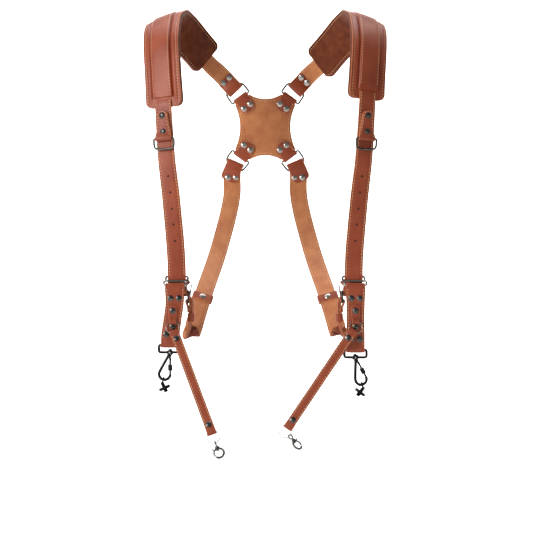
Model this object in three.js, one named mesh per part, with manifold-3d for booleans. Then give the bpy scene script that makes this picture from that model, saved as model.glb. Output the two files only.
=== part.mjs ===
// Dual camera harness: two padded shoulder straps that meet in an X-shaped back plate, with a
// hanger, a swivel hook and a safety tether on each side. Millimetres, +Z up, front towards -Y.
// The origin is midway between the tops of the two pads, where the harness sits on the shoulders.

import * as THREE from 'three';
import Module from 'manifold-3d';
import { mergeVertices } from 'three/addons/utils/BufferGeometryUtils.js';

const wasm = await Module();
wasm.setup();

// Clearance between pieces that touch
const gap = 0.3;

// The body that the harness is worn on
const shoulderHalf = 136;   // centre line to the middle of a pad's top
const chestDepth = 80;      // shoulder top forward to the front straps
const backDepth = 95;       // shoulder top back to the back plate
const sliderDrop = 369;     // shoulder top down to the slider ring
const waistHalf = 103;      // centre line to the U-turn of the lower strap
const waistDrop = 444;      // shoulder top down to the U-turn

// Straps
const strapWidth = 25;
const strapThick = 2.4;
const foldTail = 17;        // length that an end is folded back by
const endCorner = 6;        // rounding of a folded end

// Shoulder pads
const padWidth = 55;
const padFront = 163;       // pad length in front of the shoulder top
const padBack = 113;        // pad length behind it
const padFill = 4.2;        // filling and suede together
const padLeather = 1.8;
const padCorner = 9;
const padMargin = 13;       // slot to the end of the pad
const bandWall = 2.4;       // leather beside the strap in the raised band
const strapClimb = 9;       // length over which the strap climbs through a slot

// Back plate and its tabs
const plateThick = 3;
const plateTop = 100.6;     // shoulder top down to the plate's upper edge
const plateHeight = 94.6;
const plateArmHalf = 43.8;  // centre line to the outer corner of an arm
const plateArmInset = 23;   // centre line to the inner corner of an arm
const plateWaistHalf = 36.5;
const plateDip = 6.5;       // depth of the hollow in the upper and lower edges
const armDrop = 15.4;       // height between the two corners of an arm
const tabWidth = 23;
const tabThick = 1.9;
const tabLength = 24;

// Rivets
const rivetRadius = 4.3;
const rivetHeight = 1.3;
const shankRadius = 1.5;
const rivetSides = 6;
const rivetPitch = 11.5;    // between the two rivets of a pair

// Rings
const plateRingHalf = 15;   // half width of a plate ring, on its wire's centre line
const plateRingReach = 18.5;
const plateRingWire = 1.4;
const dRingHalf = 14.6;
const dRingReach = 15;
const dRingWire = 1.5;
const smallRingRadius = 8.8;
const smallRingWire = 0.8;

// Tab of the D-ring on the front strap
const dTabTopWidth = 17;
const dTabWidth = 24;
const dTabLength = 37;
const dTabDrop = 174;       // shoulder top down to the bar of the D-ring

// Slider ring and hanger
const sliderHalf = 15;
const sliderWire = 1.5;
const sliderTilt = 6;       // height between the ring's rear bar and its front bar
const hangerWidth = 28;
const hangerWaist = 24.6;
const hangerFoot = 25;
const hangerLength = 85;    // between the bars that its two folds hold
const hangerThick = 1.8;
const hangerShift = 2.5;      // hanger's middle, outward of the strap's

// Anchor and tether
const anchorWidth = 12;
const anchorThick = 1.5;
const anchorLength = 35;
const tetherWidth = 12.6;
const tetherThick = 1.3;
const tetherLength = 152;   // between the wires of its two rings

// Swivel hook
const frameWire = 1.9;
const frameHalf = 15;       // half width on the wire's centre line
const frameDepth = 10.2;    // bar in the hanger's fold down to the lower bar
const postRadius = 1.5;
const bossRadius = 4.6;
const bossHeight = 6;
const hookWire = 2.1;
const hookRadius = 7.6;     // basket of the hook, on its wire's centre line
const hookLength = 25;      // post's foot down to the middle of the basket
const gateWire = 1.45;
const sleeveRadius = 3.2;
const sleeveLength = 8.6;

// Camera screw
const screwDisc = 8.4;
const screwDiscThick = 3.2;
const screwThread = 3.1;
const screwThreadLength = 5;
const screwRingWire = 1.1;
const screwRingHalf = 4.6;
const screwRingReach = 8.6;

// Snap hook of the tether
const eyeRadius = 3.1;
const eyeWire = 0.95;
const snapRadius = 6.6;
const snapWire = 1.45;
const snapBarrel = 2.7;
const snapBarrelLength = 4.6;
const snapShank = 1.0;

// Buckle and keepers
const buckleLength = 14;    // between the two bars
const buckleHalf = 14.6;
const buckleWire = 1.3;
const prongRadius = 1.0;
const keeperHeight = 12;
const keeperThick = 1.8;

// How each side hangs: angles in degrees, outward positive, slides in mm, and the hanger's
// length between its bars as a share of hangerLength
const sides = [
  { name: 'left', mirror: -1, slide: 6, hangerLean: 8, hangerShare: 0.95, hookLean: 14,
    hookTurn: 180, screwTilt: 25, tetherSwing: 19.9, tetherLean: 26.5, snapSwing: 19, snapTurn: 0 },
  { name: 'right', mirror: 1, slide: -5, hangerLean: 0, hangerShare: 1.03, hookLean: 14,
    hookTurn: 0, screwTilt: 38, tetherSwing: 34.5, tetherLean: 8, snapSwing: -40, snapTurn: 50 },
];

const leather = new THREE.MeshStandardMaterial({ color: 0xa2543c, roughness: 0.55, metalness: 0 });
const flesh = new THREE.MeshStandardMaterial({ color: 0xbd7a49, roughness: 0.9, metalness: 0 });
const suede = new THREE.MeshStandardMaterial({ color: 0x50281a, roughness: 0.95, metalness: 0 });
const gunmetal = new THREE.MeshStandardMaterial({ color: 0x5c5b58, roughness: 0.35, metalness: 1 });
const blackMetal = new THREE.MeshStandardMaterial({ color: 0x232325, roughness: 0.35, metalness: 1 });

const vec = (x, y, z) => new THREE.Vector3(x, y, z);
const rad = THREE.MathUtils.degToRad;

// Closed solid through sections with the same number of points. Each section is a convex loop,
// or caps lists the triangles of its outline.
function loft(sections, closed = false, caps = null) {
  const count = sections[0].length;
  const index = [];
  const spans = closed ? sections.length : sections.length - 1;
  for (let i = 0; i < spans; i += 1) {
    const j = (i + 1) % sections.length;
    for (let k = 0; k < count; k += 1) {
      const next = (k + 1) % count;
      index.push(i * count + k, i * count + next, j * count + next);
      index.push(i * count + k, j * count + next, j * count + k);
    }
  }
  const last = (sections.length - 1) * count;
  const fan = Array.from({ length: count - 2 }, (_, k) => [0, k + 1, k + 2]);
  for (const [a, b, c] of closed ? [] : caps ?? fan) {
    index.push(a, c, b);
    index.push(last + a, last + b, last + c);
  }
  const geometry = new THREE.BufferGeometry();
  const positions = sections.flat().flatMap((p) => [p.x, p.y, p.z]);
  geometry.setAttribute('position', new THREE.Float32BufferAttribute(positions, 3));
  geometry.setIndex(index);
  return geometry;
}

function tangents(points, closed) {
  const n = points.length;
  return points.map((p, i) => {
    const before = closed ? points[(i + n - 1) % n] : points[Math.max(i - 1, 0)];
    const after = closed ? points[(i + 1) % n] : points[Math.min(i + 1, n - 1)];
    return after.clone().sub(before).normalize();
  });
}

// Leather strip through stations {p, w, half}: a centre, the direction across, and half a width.
// Its thickness runs from low to high along the normal. A wide strip that twists is given an
// inner half width, where its upper face is split to follow the narrower strips that lie on it.
function ribbon(stations, low, high, inner) {
  const along = tangents(stations.map((s) => s.p), false);
  return loft(stations.map(({ p, w, half }, i) => {
    const across = w.clone().addScaledVector(along[i], -w.dot(along[i])).normalize();
    const normal = along[i].clone().cross(across);
    const corner = (a, h) => p.clone().addScaledVector(across, a * half).addScaledVector(normal, h);
    const shares = inner ? [1, inner / half, -inner / half, -1] : [1, -1];
    return [corner(-1, low), corner(1, low), ...shares.map((a) => corner(a, high))];
  }));
}

// Solid with the same outline all along, as [across, height] pairs that run anticlockwise
function moulding(stations, outline) {
  const along = tangents(stations.map((s) => s.p), false);
  const flat = outline.map(([a, h]) => new THREE.Vector2(a, h));
  const caps = THREE.ShapeUtils.triangulateShape(flat, []);
  return loft(stations.map(({ p, w }, i) => {
    const across = w.clone().addScaledVector(along[i], -w.dot(along[i])).normalize();
    const normal = along[i].clone().cross(across);
    return outline.map(([a, h]) => (
      p.clone().addScaledVector(across, a).addScaledVector(normal, h)));
  }), false, caps);
}

// Wire along points in one plane, whose normal is given
function wire(points, normal, radius, wireSides, closed) {
  const along = tangents(points, closed);
  return loft(points.map((p, i) => {
    const side = normal.clone().cross(along[i]).normalize();
    return Array.from({ length: wireSides }, (_, k) => {
      const a = (2 * Math.PI * (k + 0.5)) / wireSides;
      return p.clone().addScaledVector(side, radius * Math.cos(a))
        .addScaledVector(normal, radius * Math.sin(a));
    });
  }), closed);
}

// Points of an arc in the XZ plane, angles in degrees from +X towards +Z
function arc(x, z, radius, from, to, steps) {
  return Array.from({ length: steps + 1 }, (_, i) => {
    const a = rad(from + ((to - from) * i) / steps);
    return vec(x + radius * Math.cos(a), 0, z + radius * Math.sin(a));
  });
}

function ring(radius, wireRadius, steps, wireSides) {
  return wire(arc(0, 0, radius, 0, 360 - 360 / steps, steps - 1), vec(0, 1, 0), wireRadius,
    wireSides, true);
}

// Solid of revolution about the local Z axis, from [radius, height] pairs
function turned(profile, segments) {
  const points = profile.map(([r, z]) => new THREE.Vector2(r, z));
  return new THREE.LatheGeometry(points, segments).rotateX(Math.PI / 2);
}

// Moves a geometry so that its Z axis points along axis and its origin is at p
function aimed(geometry, p, axis) {
  const turn = new THREE.Quaternion().setFromUnitVectors(vec(0, 0, 1), axis.clone().normalize());
  return geometry.applyQuaternion(turn).translate(p.x, p.y, p.z);
}

function toManifold(geometry) {
  const bare = geometry.clone();
  bare.deleteAttribute('normal');
  bare.deleteAttribute('uv');
  const merged = mergeVertices(bare, 1e-4);
  const kept = [];
  const all = merged.index.array;
  for (let i = 0; i < all.length; i += 3) {
    const [a, b, c] = [all[i], all[i + 1], all[i + 2]];
    if (a !== b && b !== c && c !== a) kept.push(a, b, c);
  }
  const solid = new wasm.Manifold(new wasm.Mesh({
    numProp: 3,
    vertProperties: new Float32Array(merged.attributes.position.array),
    triVerts: new Uint32Array(kept),
  }));
  return solid;
}

function fromManifold(solid) {
  const mesh = solid.getMesh();
  const geometry = new THREE.BufferGeometry();
  geometry.setAttribute('position', new THREE.Float32BufferAttribute(mesh.vertProperties, 3));
  geometry.setIndex(Array.from(mesh.triVerts));
  return geometry;
}

function combine(base, added = [], removed = []) {
  let solid = toManifold(base);
  for (const part of added) solid = solid.add(toManifold(part));
  for (const part of removed) solid = solid.subtract(toManifold(part));
  return fromManifold(solid);
}

// Rivet along the local Z axis: its caps lie on leather from back to front
function rivet(p, axis, front, back) {
  const sink = 0.2;
  const profile = [
    [0, -back - rivetHeight],
    [rivetRadius, -back + sink],
    [shankRadius, -back + sink],
    [shankRadius, front - sink],
    [rivetRadius, front - sink],
    [0, front + rivetHeight],
  ];
  return aimed(turned(profile, rivetSides), p, axis);
}

// Hole for a rivet's shank
function rivetHole(p, axis, reach) {
  const radius = shankRadius + gap;
  return aimed(turned([[0, -reach], [radius, -reach], [radius, reach], [0, reach]], rivetSides),
    p, axis);
}

// Half width of a strip at a distance from its end, where its corners are rounded
function rounded(half, corner, distance) {
  if (distance >= corner) return half;
  const inset = corner - distance;
  return half - corner + Math.sqrt(corner * corner - inset * inset);
}

// Distances from a rounded end at which a strip needs a station
const endSteps = (corner) => [0, 0.25, 1].map((share) => share * corner);

// A strip's fold round a bar, as {s, h}: s runs past the bar and back, and h is the depth behind
// the outer layer. The tail closes up to one pitch behind that layer.
function fold(radius, thick, tail, slack = 0) {
  const points = [];
  const steps = 4;
  for (let i = 0; i <= steps; i += 1) {
    const a = (Math.PI * i) / steps;
    points.push({ s: radius * Math.sin(a), h: radius * (1 - Math.cos(a)) });
  }
  if (slack > 0) points.push({ s: -slack, h: 2 * radius });
  const pitch = thick + gap;
  const ease = 3 * radius;
  for (const share of [0.5, 1]) {
    const turn = (1 + Math.cos(Math.PI * share)) / 2;
    points.push({ s: -slack - ease * share, h: pitch + (2 * radius - pitch) * turn });
  }
  for (const left of endSteps(endCorner).reverse()) {
    if (tail - left > slack + ease) points.push({ s: left - tail, h: pitch, left });
  }
  return points;
}

function piece(name, geometry, material) {
  const mesh = new THREE.Mesh(geometry, material);
  mesh.name = name;
  return mesh;
}

// Routes of the straps on the side of +X. Each row gives a point as shares of the body's sizes
// and the direction across the strap, from its inner edge to its outer edge.
const shoulderRoute = [
  { side: 0.437, depth: 0.96, drop: 0.208, w: [0.80, -0.10, -0.62] },
  { side: 0.574, depth: 0.81, drop: 0.160, w: [0.74, -0.42, -0.50] },
  { side: 0.728, depth: 0.62, drop: 0.097, w: [0.74, -0.52, -0.40] },
  { side: 0.878, depth: 0.37, drop: 0.038, w: [0.80, -0.44, -0.36] },
  { side: 0.990, depth: 0.06, drop: 0.007, w: [0.93, -0.10, -0.35] },
  { side: 1.038, depth: -0.38, drop: 0.028, w: [0.91, 0.27, -0.30] },
  { side: 1.050, depth: -0.74, drop: 0.106, w: [0.87, 0.48, -0.12] },
  { side: 1.032, depth: -0.93, drop: 0.226, w: [0.87, 0.49, 0] },
  { side: 1.011, depth: -0.99, drop: 0.344, w: [0.90, 0.42, 0] },
  { side: 0.981, depth: -1.00, drop: 0.539, w: [0.95, 0.30, 0] },
  { side: 0.936, depth: -1.00, drop: 0.697, w: [0.98, 0.17, 0] },
  { side: 0.889, depth: -1.00, drop: 0.915, w: [1, 0.03, 0] },
  { side: 0.884, depth: -1.00, drop: 1, w: [1, 0, 0] },
];
const lowerRoute = [
  { side: 0.470, depth: 0.99, drop: 0.560, w: [0.97, 0, 0.24] },
  { side: 0.640, depth: 0.60, drop: 0.730, w: [0.97, 0, 0.22] },
  { side: 0.845, depth: -0.22, drop: 0.882, w: [0.96, 0, 0.26] },
  { side: 0.940, depth: -0.50, drop: 0.960, w: [0.96, -0.05, 0.26] },
];

function routePoint({ side, depth, drop }, half, height) {
  return vec(side * half, depth * (depth > 0 ? backDepth : chestDepth), -drop * height);
}

// A smooth route with an even measure of length along it
class Route {
  constructor(rows) {
    this.line = new THREE.CatmullRomCurve3(rows.map((row) => row.p), false, 'centripetal');
    this.line.arcLengthDivisions = 400;
    this.turns = new THREE.CatmullRomCurve3(rows.map((row) => row.w), false, 'centripetal');
    this.rows = rows.length;
    this.length = this.line.getLength();
  }

  // Station at a length along the route, lifted by h along the strap's outer side
  at(along, h = 0, half = strapWidth / 2) {
    const t = this.line.getUtoTmapping(Math.min(Math.max(along / this.length, 0), 1));
    const p = this.line.getPoint(t);
    const tangent = this.line.getTangent(t);
    const w = this.across(t);
    w.addScaledVector(tangent, -w.dot(tangent)).normalize();
    const normal = tangent.clone().cross(w);
    return { p: p.addScaledVector(normal, h), w, half, normal, tangent };
  }

  // Direction across, blended between the rows next to t
  across(t) {
    const place = t * (this.rows - 1);
    const i = Math.min(Math.floor(place), this.rows - 2);
    const share = place - i;
    const ease = share * share * (3 - 2 * share);
    const from = this.turns.points[i];
    return from.clone().lerp(this.turns.points[i + 1], ease).normalize();
  }

  // Length along the route at which it reaches a height or another coordinate
  where(test) {
    const steps = 800;
    for (let i = 0; i <= steps; i += 1) {
      const along = (this.length * i) / steps;
      if (test(this.at(along).p)) return along;
    }
    return this.length;
  }
}

// Frames of the plate's arms. Up is 1 for the two upper arms and -1 for the lower ones.
const plateMid = -(plateTop + plateHeight / 2);
const tabLayer = Math.max(plateThick / 2 + gap, plateRingWire + gap) + tabThick / 2;
const plateRingStandOff = plateRingWire + gap + 1.5;
const tabCorner = 9;

function armFrame(up) {
  const outer = vec(plateArmHalf, backDepth, plateMid + up * (plateHeight / 2 - armDrop));
  const inner = vec(plateArmInset, backDepth, plateMid + up * (plateHeight / 2));
  const across = outer.clone().sub(inner).normalize();
  const out = vec(-across.z * up, 0, across.x * up);
  const middle = outer.clone().add(inner).multiplyScalar(0.5);
  const bar = middle.clone().addScaledVector(out, plateRingStandOff);
  return { outer, inner, middle, across, out, bar };
}

// Matrix of a frame whose local X runs across and whose local Z runs out from its bar
function basis({ across, out, bar }) {
  const x = across.clone().normalize();
  const z = out.clone().addScaledVector(x, -out.dot(x)).normalize();
  return new THREE.Matrix4().makeBasis(x, z.clone().cross(x), z).setPosition(bar);
}

// D-ring in the local XZ plane: a bar on the X axis and a bow flat enough to carry a strap
const bowFlatness = 5;
const bowFoot = 1.2;

function dRing(half, reach, wireRadius, frame) {
  const steps = 10;
  const points = [vec(half - wireRadius, 0, 0)];
  for (let i = 0; i <= steps; i += 1) {
    const a = (Math.PI * i) / steps;
    const x = Math.sign(Math.cos(a)) * Math.abs(Math.cos(a)) ** (2 / bowFlatness) * half;
    const rise = Math.max(Math.sin(a), 0) ** (2 / bowFlatness);
    points.push(vec(x, 0, bowFoot + (reach - bowFoot) * rise));
  }
  points.push(vec(wireRadius - half, 0, 0));
  return wire(points, vec(0, -1, 0), wireRadius, 5, true).applyMatrix4(basis(frame));
}

// How far the bow has dropped at a strap's edges
function bowSag(half, reach, edge) {
  const share = (1 - (edge / half) ** bowFlatness) ** (1 / bowFlatness);
  return (reach - bowFoot) * (1 - share);
}

const plateSag = bowSag(plateRingHalf, plateRingReach, strapWidth / 2);
const strapFold = plateRingWire + gap + strapThick / 2;

// A strap leaves its plate ring a few degrees off the ring's own line, up for the upper ones,
// and its fold needs play for that on both sides of the bow.
const strapSkew = { 1: 7, '-1': 13 };
const foldPlay = (up) => 0.5 + (strapWidth / 2) * Math.sin(rad(strapSkew[up]));
const foldSlack = (up) => plateSag + 2 * foldPlay(up) + plateRingWire;

function foldCentre(up) {
  const arm = armFrame(up);
  return arm.bar.clone().addScaledVector(arm.out, plateRingReach - plateSag - foldPlay(up));
}

function strapAcross(up) {
  return armFrame(up).across.clone().applyAxisAngle(vec(0, 1, 0), rad(strapSkew[up]));
}

// The strap's middle lies at this height over the lining where it is outside the pad
const insideHeight = gap + strapThick / 2;
const outsideHeight = 2 * gap + padLeather + strapThick / 2;

// Buckle: edge-on behind the hanger's inner edge, with its outer face turned inward
const heel = vec(waistHalf + 2.5, 14 - chestDepth, -sliderDrop - 28);
const buckleTop = heel.clone().add(vec(-1, 0, buckleLength));
const buckleFold = buckleWire + gap + strapThick / 2;
const mainX = heel.x - buckleFold;
const tongueX = mainX - strapThick - gap;
const inTop = buckleTop.x + buckleFold;

// First rows of a strap's route: straight and level as far as its fold is slack
function strapStart(up, rise) {
  const w = strapAcross(up);
  const p = foldCentre(up).setY(backDepth + rise);
  const straight = vec(-w.z * up, 0, w.x * up).multiplyScalar(foldSlack(up));
  return [{ p, w }, { p: p.clone().add(straight), w: w.clone() }];
}

function makeShoulderRoute() {
  const rows = shoulderRoute.map((row) => (
    { p: routePoint(row, shoulderHalf, sliderDrop), w: vec(...row.w) }));
  return new Route([...strapStart(1, strapFold - outsideHeight), ...rows]);
}

function makeLowerRoute() {
  const rows = lowerRoute.map((row) => (
    { p: routePoint(row, waistHalf, waistDrop), w: vec(...row.w) }));
  const foot = -waistDrop;
  const turn = [
    { p: vec(mainX - 1.5, heel.y + 13, foot + 2), w: vec(0.8, -0.55, 0.1) },
    { p: vec(mainX + 0.3, heel.y + 4.5, foot + 4), w: vec(0.42, -0.9, 0) },
    { p: vec(mainX, heel.y, foot + 12), w: vec(0.06, -1, 0) },
    { p: vec(mainX, heel.y, foot + 20), w: vec(0, -1, 0) },
    { p: heel.clone().setX(mainX), w: vec(0, -1, 0) },
  ];
  return new Route([...strapStart(-1, strapFold), ...rows, ...turn]);
}

const shoulder = makeShoulderRoute();
const lower = makeLowerRoute();
const shoulderTop = shoulder.where((p) => p.y < 0);
const slider = shoulder.at(shoulder.length, outsideHeight);
const dBarAt = shoulder.where((p) => p.y < -chestDepth / 2 && p.z < -dTabDrop);
const keeperAt = lower.where((p) => p.z < -0.883 * waistDrop);
const plainKeeperZ = heel.z - 22;
const inKeeper = keeperHeight / 2 + 3;   // half of the straight length in the riveted keeper

function spread(from, to, step) {
  const count = Math.max(1, Math.round((to - from) / step));
  return Array.from({ length: count + 1 }, (_, i) => from + ((to - from) * i) / count);
}

function makePad(slide) {
  const start = shoulderTop - padBack + slide;
  const end = shoulderTop + padFront + slide;
  const height = (along) => {
    const inward = Math.min(along - start, end - along) - padMargin + strapClimb;
    const ease = THREE.MathUtils.smoothstep(inward, 0, strapClimb);
    return outsideHeight + (insideHeight - outsideHeight) * ease;
  };
  const marks = [
    ...spread(start, start + padMargin - strapClimb, 4),
    ...spread(start + padMargin - strapClimb / 2, start + padMargin, strapClimb / 2),
    ...spread(start + padMargin + 16, end - padMargin - 16, 16),
    ...spread(end - padMargin, end - padMargin + strapClimb / 2, strapClimb / 2),
    ...spread(end - padMargin + strapClimb, end, 4),
  ];
  return { start, end, height, marks };
}

function rivetPair(station, front, back, pitch = rivetPitch) {
  return [-0.5, 0.5].map((side) => rivet(
    station.p.clone().addScaledVector(station.w, side * pitch), station.normal, front, back));
}

// Stations of a folded end of a strap on a route, from the bar to the end of its tail. Out is
// the way along the route that leads past the bar, and side is the side that the tail lies on.
function foldedEnd(station, radius, thick, tail, slack, out, side) {
  return fold(radius, thick, tail, slack).map(({ s, h, left }) => ({
    p: station.p.clone().addScaledVector(station.tangent, out * s)
      .addScaledVector(station.normal, side * h),
    w: station.w,
    half: left === undefined ? station.half : rounded(station.half, endCorner, left),
  }));
}

function prongParts(radius) {
  const root = heel.clone().add(vec(-1.5, 0, 1.5));
  const rest = buckleTop.clone().add(vec(-buckleWire - gap - prongRadius, 0, 0));
  const tip = rest.clone().add(vec(-0.8, 0, 8.5));
  return wire([root, rest, tip], vec(0, 1, 0), radius, 6, false);
}

function shoulderStrap(pad, dTab) {
  const half = strapWidth / 2;
  const start = shoulder.at(0, outsideHeight);
  const slack = foldSlack(1);
  const stations = foldedEnd(start, strapFold, strapThick, foldTail + slack, slack, -1, -1)
    .reverse();
  const marks = [
    ...spread(9, pad.start - 4, 22),
    ...pad.marks,
    ...spread(pad.end + 12, shoulder.length - 6, 36),
    shoulder.length,
  ];
  for (const along of marks) stations.push({ ...shoulder.at(along, pad.height(along)), half });
  const last = slider.p;
  const turn = [
    { p: vec(last.x - 0.6, last.y + 0.8, last.z - 3.4), w: vec(0.98, -0.18, 0) },
    { p: vec(last.x - 3.4, last.y + 3.6, last.z - 6.4), w: vec(0.85, -0.53, 0) },
    { p: vec(last.x - 7.6, last.y + 8.6, last.z - 8.8), w: vec(0.52, -0.85, 0) },
    { p: vec(inTop + 1.5, heel.y, buckleTop.z + 3.4), w: vec(0.2, -0.98, 0) },
    { p: vec(inTop + 0.3, heel.y, buckleTop.z - 0.8), w: vec(0, -1, 0) },
    { p: vec((inTop + tongueX) / 2, heel.y, (buckleTop.z + heel.z) / 2 - 0.5), w: vec(0, -1, 0) },
    { p: vec(tongueX, heel.y, heel.z + 1), w: vec(0, -1, 0) },
  ].map((row) => ({ ...row, half }));
  const tongueEnd = plainKeeperZ - 8;
  const end = endSteps(endCorner).reverse().map((left) => (
    { p: vec(tongueX, heel.y, tongueEnd + left), w: vec(0, -1, 0),
      half: rounded(half, endCorner, left) }));
  const body = ribbon([...stations, ...turn, ...end], -strapThick / 2, strapThick / 2);
  const pair = rivetPair(shoulder.at(slack + 11, outsideHeight), strapThick / 2,
    1.5 * strapThick + gap);
  const holes = dTab.rivets.map(({ p, normal }) => rivetHole(p, normal, 6));
  return combine(body, pair, [...holes, prongParts(prongRadius + gap)]);
}

function lowerStrap() {
  const half = strapWidth / 2;
  const start = lower.at(0);
  const slack = foldSlack(-1);
  const top = foldedEnd(start, strapFold, strapThick, foldTail + slack, slack, -1, 1)
    .reverse();
  const flat = lower.length - 60;
  const marks = [
    ...spread(9, keeperAt - inKeeper, 22),
    ...spread(keeperAt + inKeeper, flat, 16),
    ...spread(flat + 8, lower.length - 1, 7),
  ];
  const stations = marks.map((along) => ({ ...lower.at(along), half }));
  const end = foldedEnd(lower.at(lower.length), buckleFold, strapThick, foldTail - 2, 0, 1, 1);
  const body = ribbon([...top, ...stations, ...end], -strapThick / 2, strapThick / 2);
  const pair = rivetPair(lower.at(slack + 11), 1.5 * strapThick + gap, strapThick / 2);
  const slot = new THREE.BoxGeometry(14, 5, 9.5).translate(heel.x, heel.y, heel.z + 0.6);
  return combine(body, pair, [slot]);
}

function padPieces(pad) {
  const half = padWidth / 2;
  const marks = [
    ...endSteps(padCorner).map((d) => pad.start + d),
    ...pad.marks.filter((d) => d > pad.start + padCorner + 1 && d < pad.end - padCorner - 1),
    ...endSteps(padCorner).reverse().map((d) => pad.end - d),
  ];
  const plan = marks.map((along) => ({ ...shoulder.at(along),
    half: rounded(half, padCorner, Math.min(along - pad.start, pad.end - along)) }));
  const channel = strapWidth / 2 + gap;
  const ceiling = 3.5 * gap + strapThick;
  const bandHalf = channel + bandWall;
  const top = gap + padLeather;
  const outline = [[-half, gap], [-channel, gap], [-channel, ceiling], [channel, ceiling],
    [channel, gap], [half, gap], [half, top], [bandHalf, top], [bandHalf, ceiling + padLeather],
    [-bandHalf, ceiling + padLeather], [-bandHalf, top], [-half, top]];
  const fromEnd = (along) => Math.min(along - pad.start, pad.end - along);
  const middle = moulding(plan.filter((_, i) => fromEnd(marks[i]) > padMargin - 0.1), outline);

  // The two ends are flat, and the strap's path through its slot is cut from each
  const overlap = 0.5;
  const endOf = (from, way) => {
    const steps = marks.filter((d) => (d - from) * way >= 0 && (d - from) * way < padMargin - 0.1);
    const last = from + way * (padMargin + overlap);
    const rows = [...steps, last].sort((a, b) => a - b);
    const sheet = ribbon(rows.map((along) => ({ ...shoulder.at(along),
      half: rounded(half, padCorner, fromEnd(along)) })), gap, top);
    const path = [...pad.marks, from + way * (padMargin + 2 * overlap)]
      .filter((d) => (d - from) * way >= 0 && (d - from) * way < padMargin + 3 * overlap)
      .sort((a, b) => a - b)
      .map((along) => shoulder.at(along, pad.height(along), channel));
    return [sheet, ribbon(path, -strapThick / 2 - 0.7 * gap, strapThick / 2 + 0.7 * gap)];
  };
  const [backEnd, backPath] = endOf(pad.start, 1);
  const [frontEnd, frontPath] = endOf(pad.end, -1);
  return {
    outer: combine(middle, [backEnd, frontEnd], [backPath, frontPath]),
    lining: ribbon(plan, -padFill, -gap, strapWidth / 2),
  };
}

// Tab of the D-ring, which lies on the front strap and follows it
function dRingTab() {
  const backHeight = outsideHeight + strapThick / 2 + gap + tabThick / 2;
  const radius = dRingWire + gap + tabThick / 2;
  const corner = 7.5;
  const stationAt = (s, h, left) => {
    const share = THREE.MathUtils.clamp(-s / dTabLength, 0, 1);
    const half = (dTabWidth + (dTabTopWidth - dTabWidth) * Math.min(1, 1.6 * share)) / 2;
    const ease = left === undefined ? half : rounded(half, corner, left);
    return { ...shoulder.at(dBarAt + s, backHeight + h), half: ease };
  };
  const back = endSteps(corner).map((left) => stationAt(left - dTabLength, 0, left));
  back.push(stationAt(-16, 0), stationAt(-8, 0));
  const front = fold(radius, tabThick, dTabLength - 8).filter(({ left }) => left === undefined)
    .map(({ s, h }) => stationAt(s, h));
  front.push(stationAt(-18, tabThick + gap));
  front.push(...endSteps(corner).reverse().map((left) => (
    stationAt(left - dTabLength, tabThick + gap, left))));
  const body = ribbon([...back, ...front], -tabThick / 2, tabThick / 2);
  const rivets = [0.24, 0.83].map((share) => shoulder.at(dBarAt - share * dTabLength, backHeight));
  const caps = rivets.map(({ p, normal }) => (
    rivet(p, normal, 1.5 * tabThick + gap, tabThick / 2 + 2 * gap + strapThick)));
  const bar = shoulder.at(dBarAt, backHeight + radius);
  return { geometry: combine(body, caps), rivets, bar };
}

function plateTab(up) {
  const arm = armFrame(up);
  const matrix = basis(arm);
  const radius = tabLayer;
  const end = -(tabLength);
  const straight = endSteps(tabCorner).map((left) => ({ z: end + left, left }));
  const stations = [
    ...straight.map(({ z, left }) => ({ p: vec(0, -radius, z), left })),
    ...spread(0, 180, 45).map((a) => (
      { p: vec(0, -radius * Math.cos(rad(a)), radius * Math.sin(rad(a))) })),
    ...straight.reverse().map(({ z, left }) => ({ p: vec(0, radius, z), left })),
  ].map(({ p, left }) => ({ p, w: vec(1, 0, 0),
    half: left === undefined ? tabWidth / 2 : rounded(tabWidth / 2, tabCorner, left) }));
  const body = ribbon(stations, -tabThick / 2, tabThick / 2);
  const at = -(tabLength - 8.5);
  const reach = radius + tabThick / 2;
  const places = [-0.5, 0.5].map((side) => vec(side * rivetPitch, 0, at));
  const caps = places.map((p) => rivet(p, vec(0, 1, 0), reach, reach));
  const holes = places.map((p) => rivetHole(p, vec(0, 1, 0), plateThick).applyMatrix4(matrix));
  return { geometry: combine(body, caps).applyMatrix4(matrix), holes, arm };
}

function backPlate(holes) {
  const upper = armFrame(1);
  const under = armFrame(-1);
  const shape = new THREE.Shape();
  shape.moveTo(-upper.inner.x, upper.inner.z);
  shape.quadraticCurveTo(0, upper.inner.z - 2 * plateDip, upper.inner.x, upper.inner.z);
  shape.lineTo(upper.outer.x, upper.outer.z);
  shape.quadraticCurveTo(2 * plateWaistHalf - plateArmHalf, plateMid, under.outer.x, under.outer.z);
  shape.lineTo(under.inner.x, under.inner.z);
  shape.quadraticCurveTo(0, under.inner.z + 2 * plateDip, -under.inner.x, under.inner.z);
  shape.lineTo(-under.outer.x, under.outer.z);
  shape.quadraticCurveTo(plateArmHalf - 2 * plateWaistHalf, plateMid, -upper.outer.x, upper.outer.z);
  shape.closePath();
  const body = new THREE.ExtrudeGeometry(shape, { depth: plateThick, bevelEnabled: false,
    curveSegments: 8 });
  body.rotateX(Math.PI / 2).translate(0, backDepth + plateThick / 2, 0);
  const mirrored = holes.map((hole) => {
    const copy = hole.clone().scale(-1, 1, 1);
    const index = copy.index.array;
    for (let i = 0; i < index.length; i += 3) [index[i], index[i + 1]] = [index[i + 1], index[i]];
    return copy;
  });
  return combine(body, [], [...holes, ...mirrored]);
}

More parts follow.
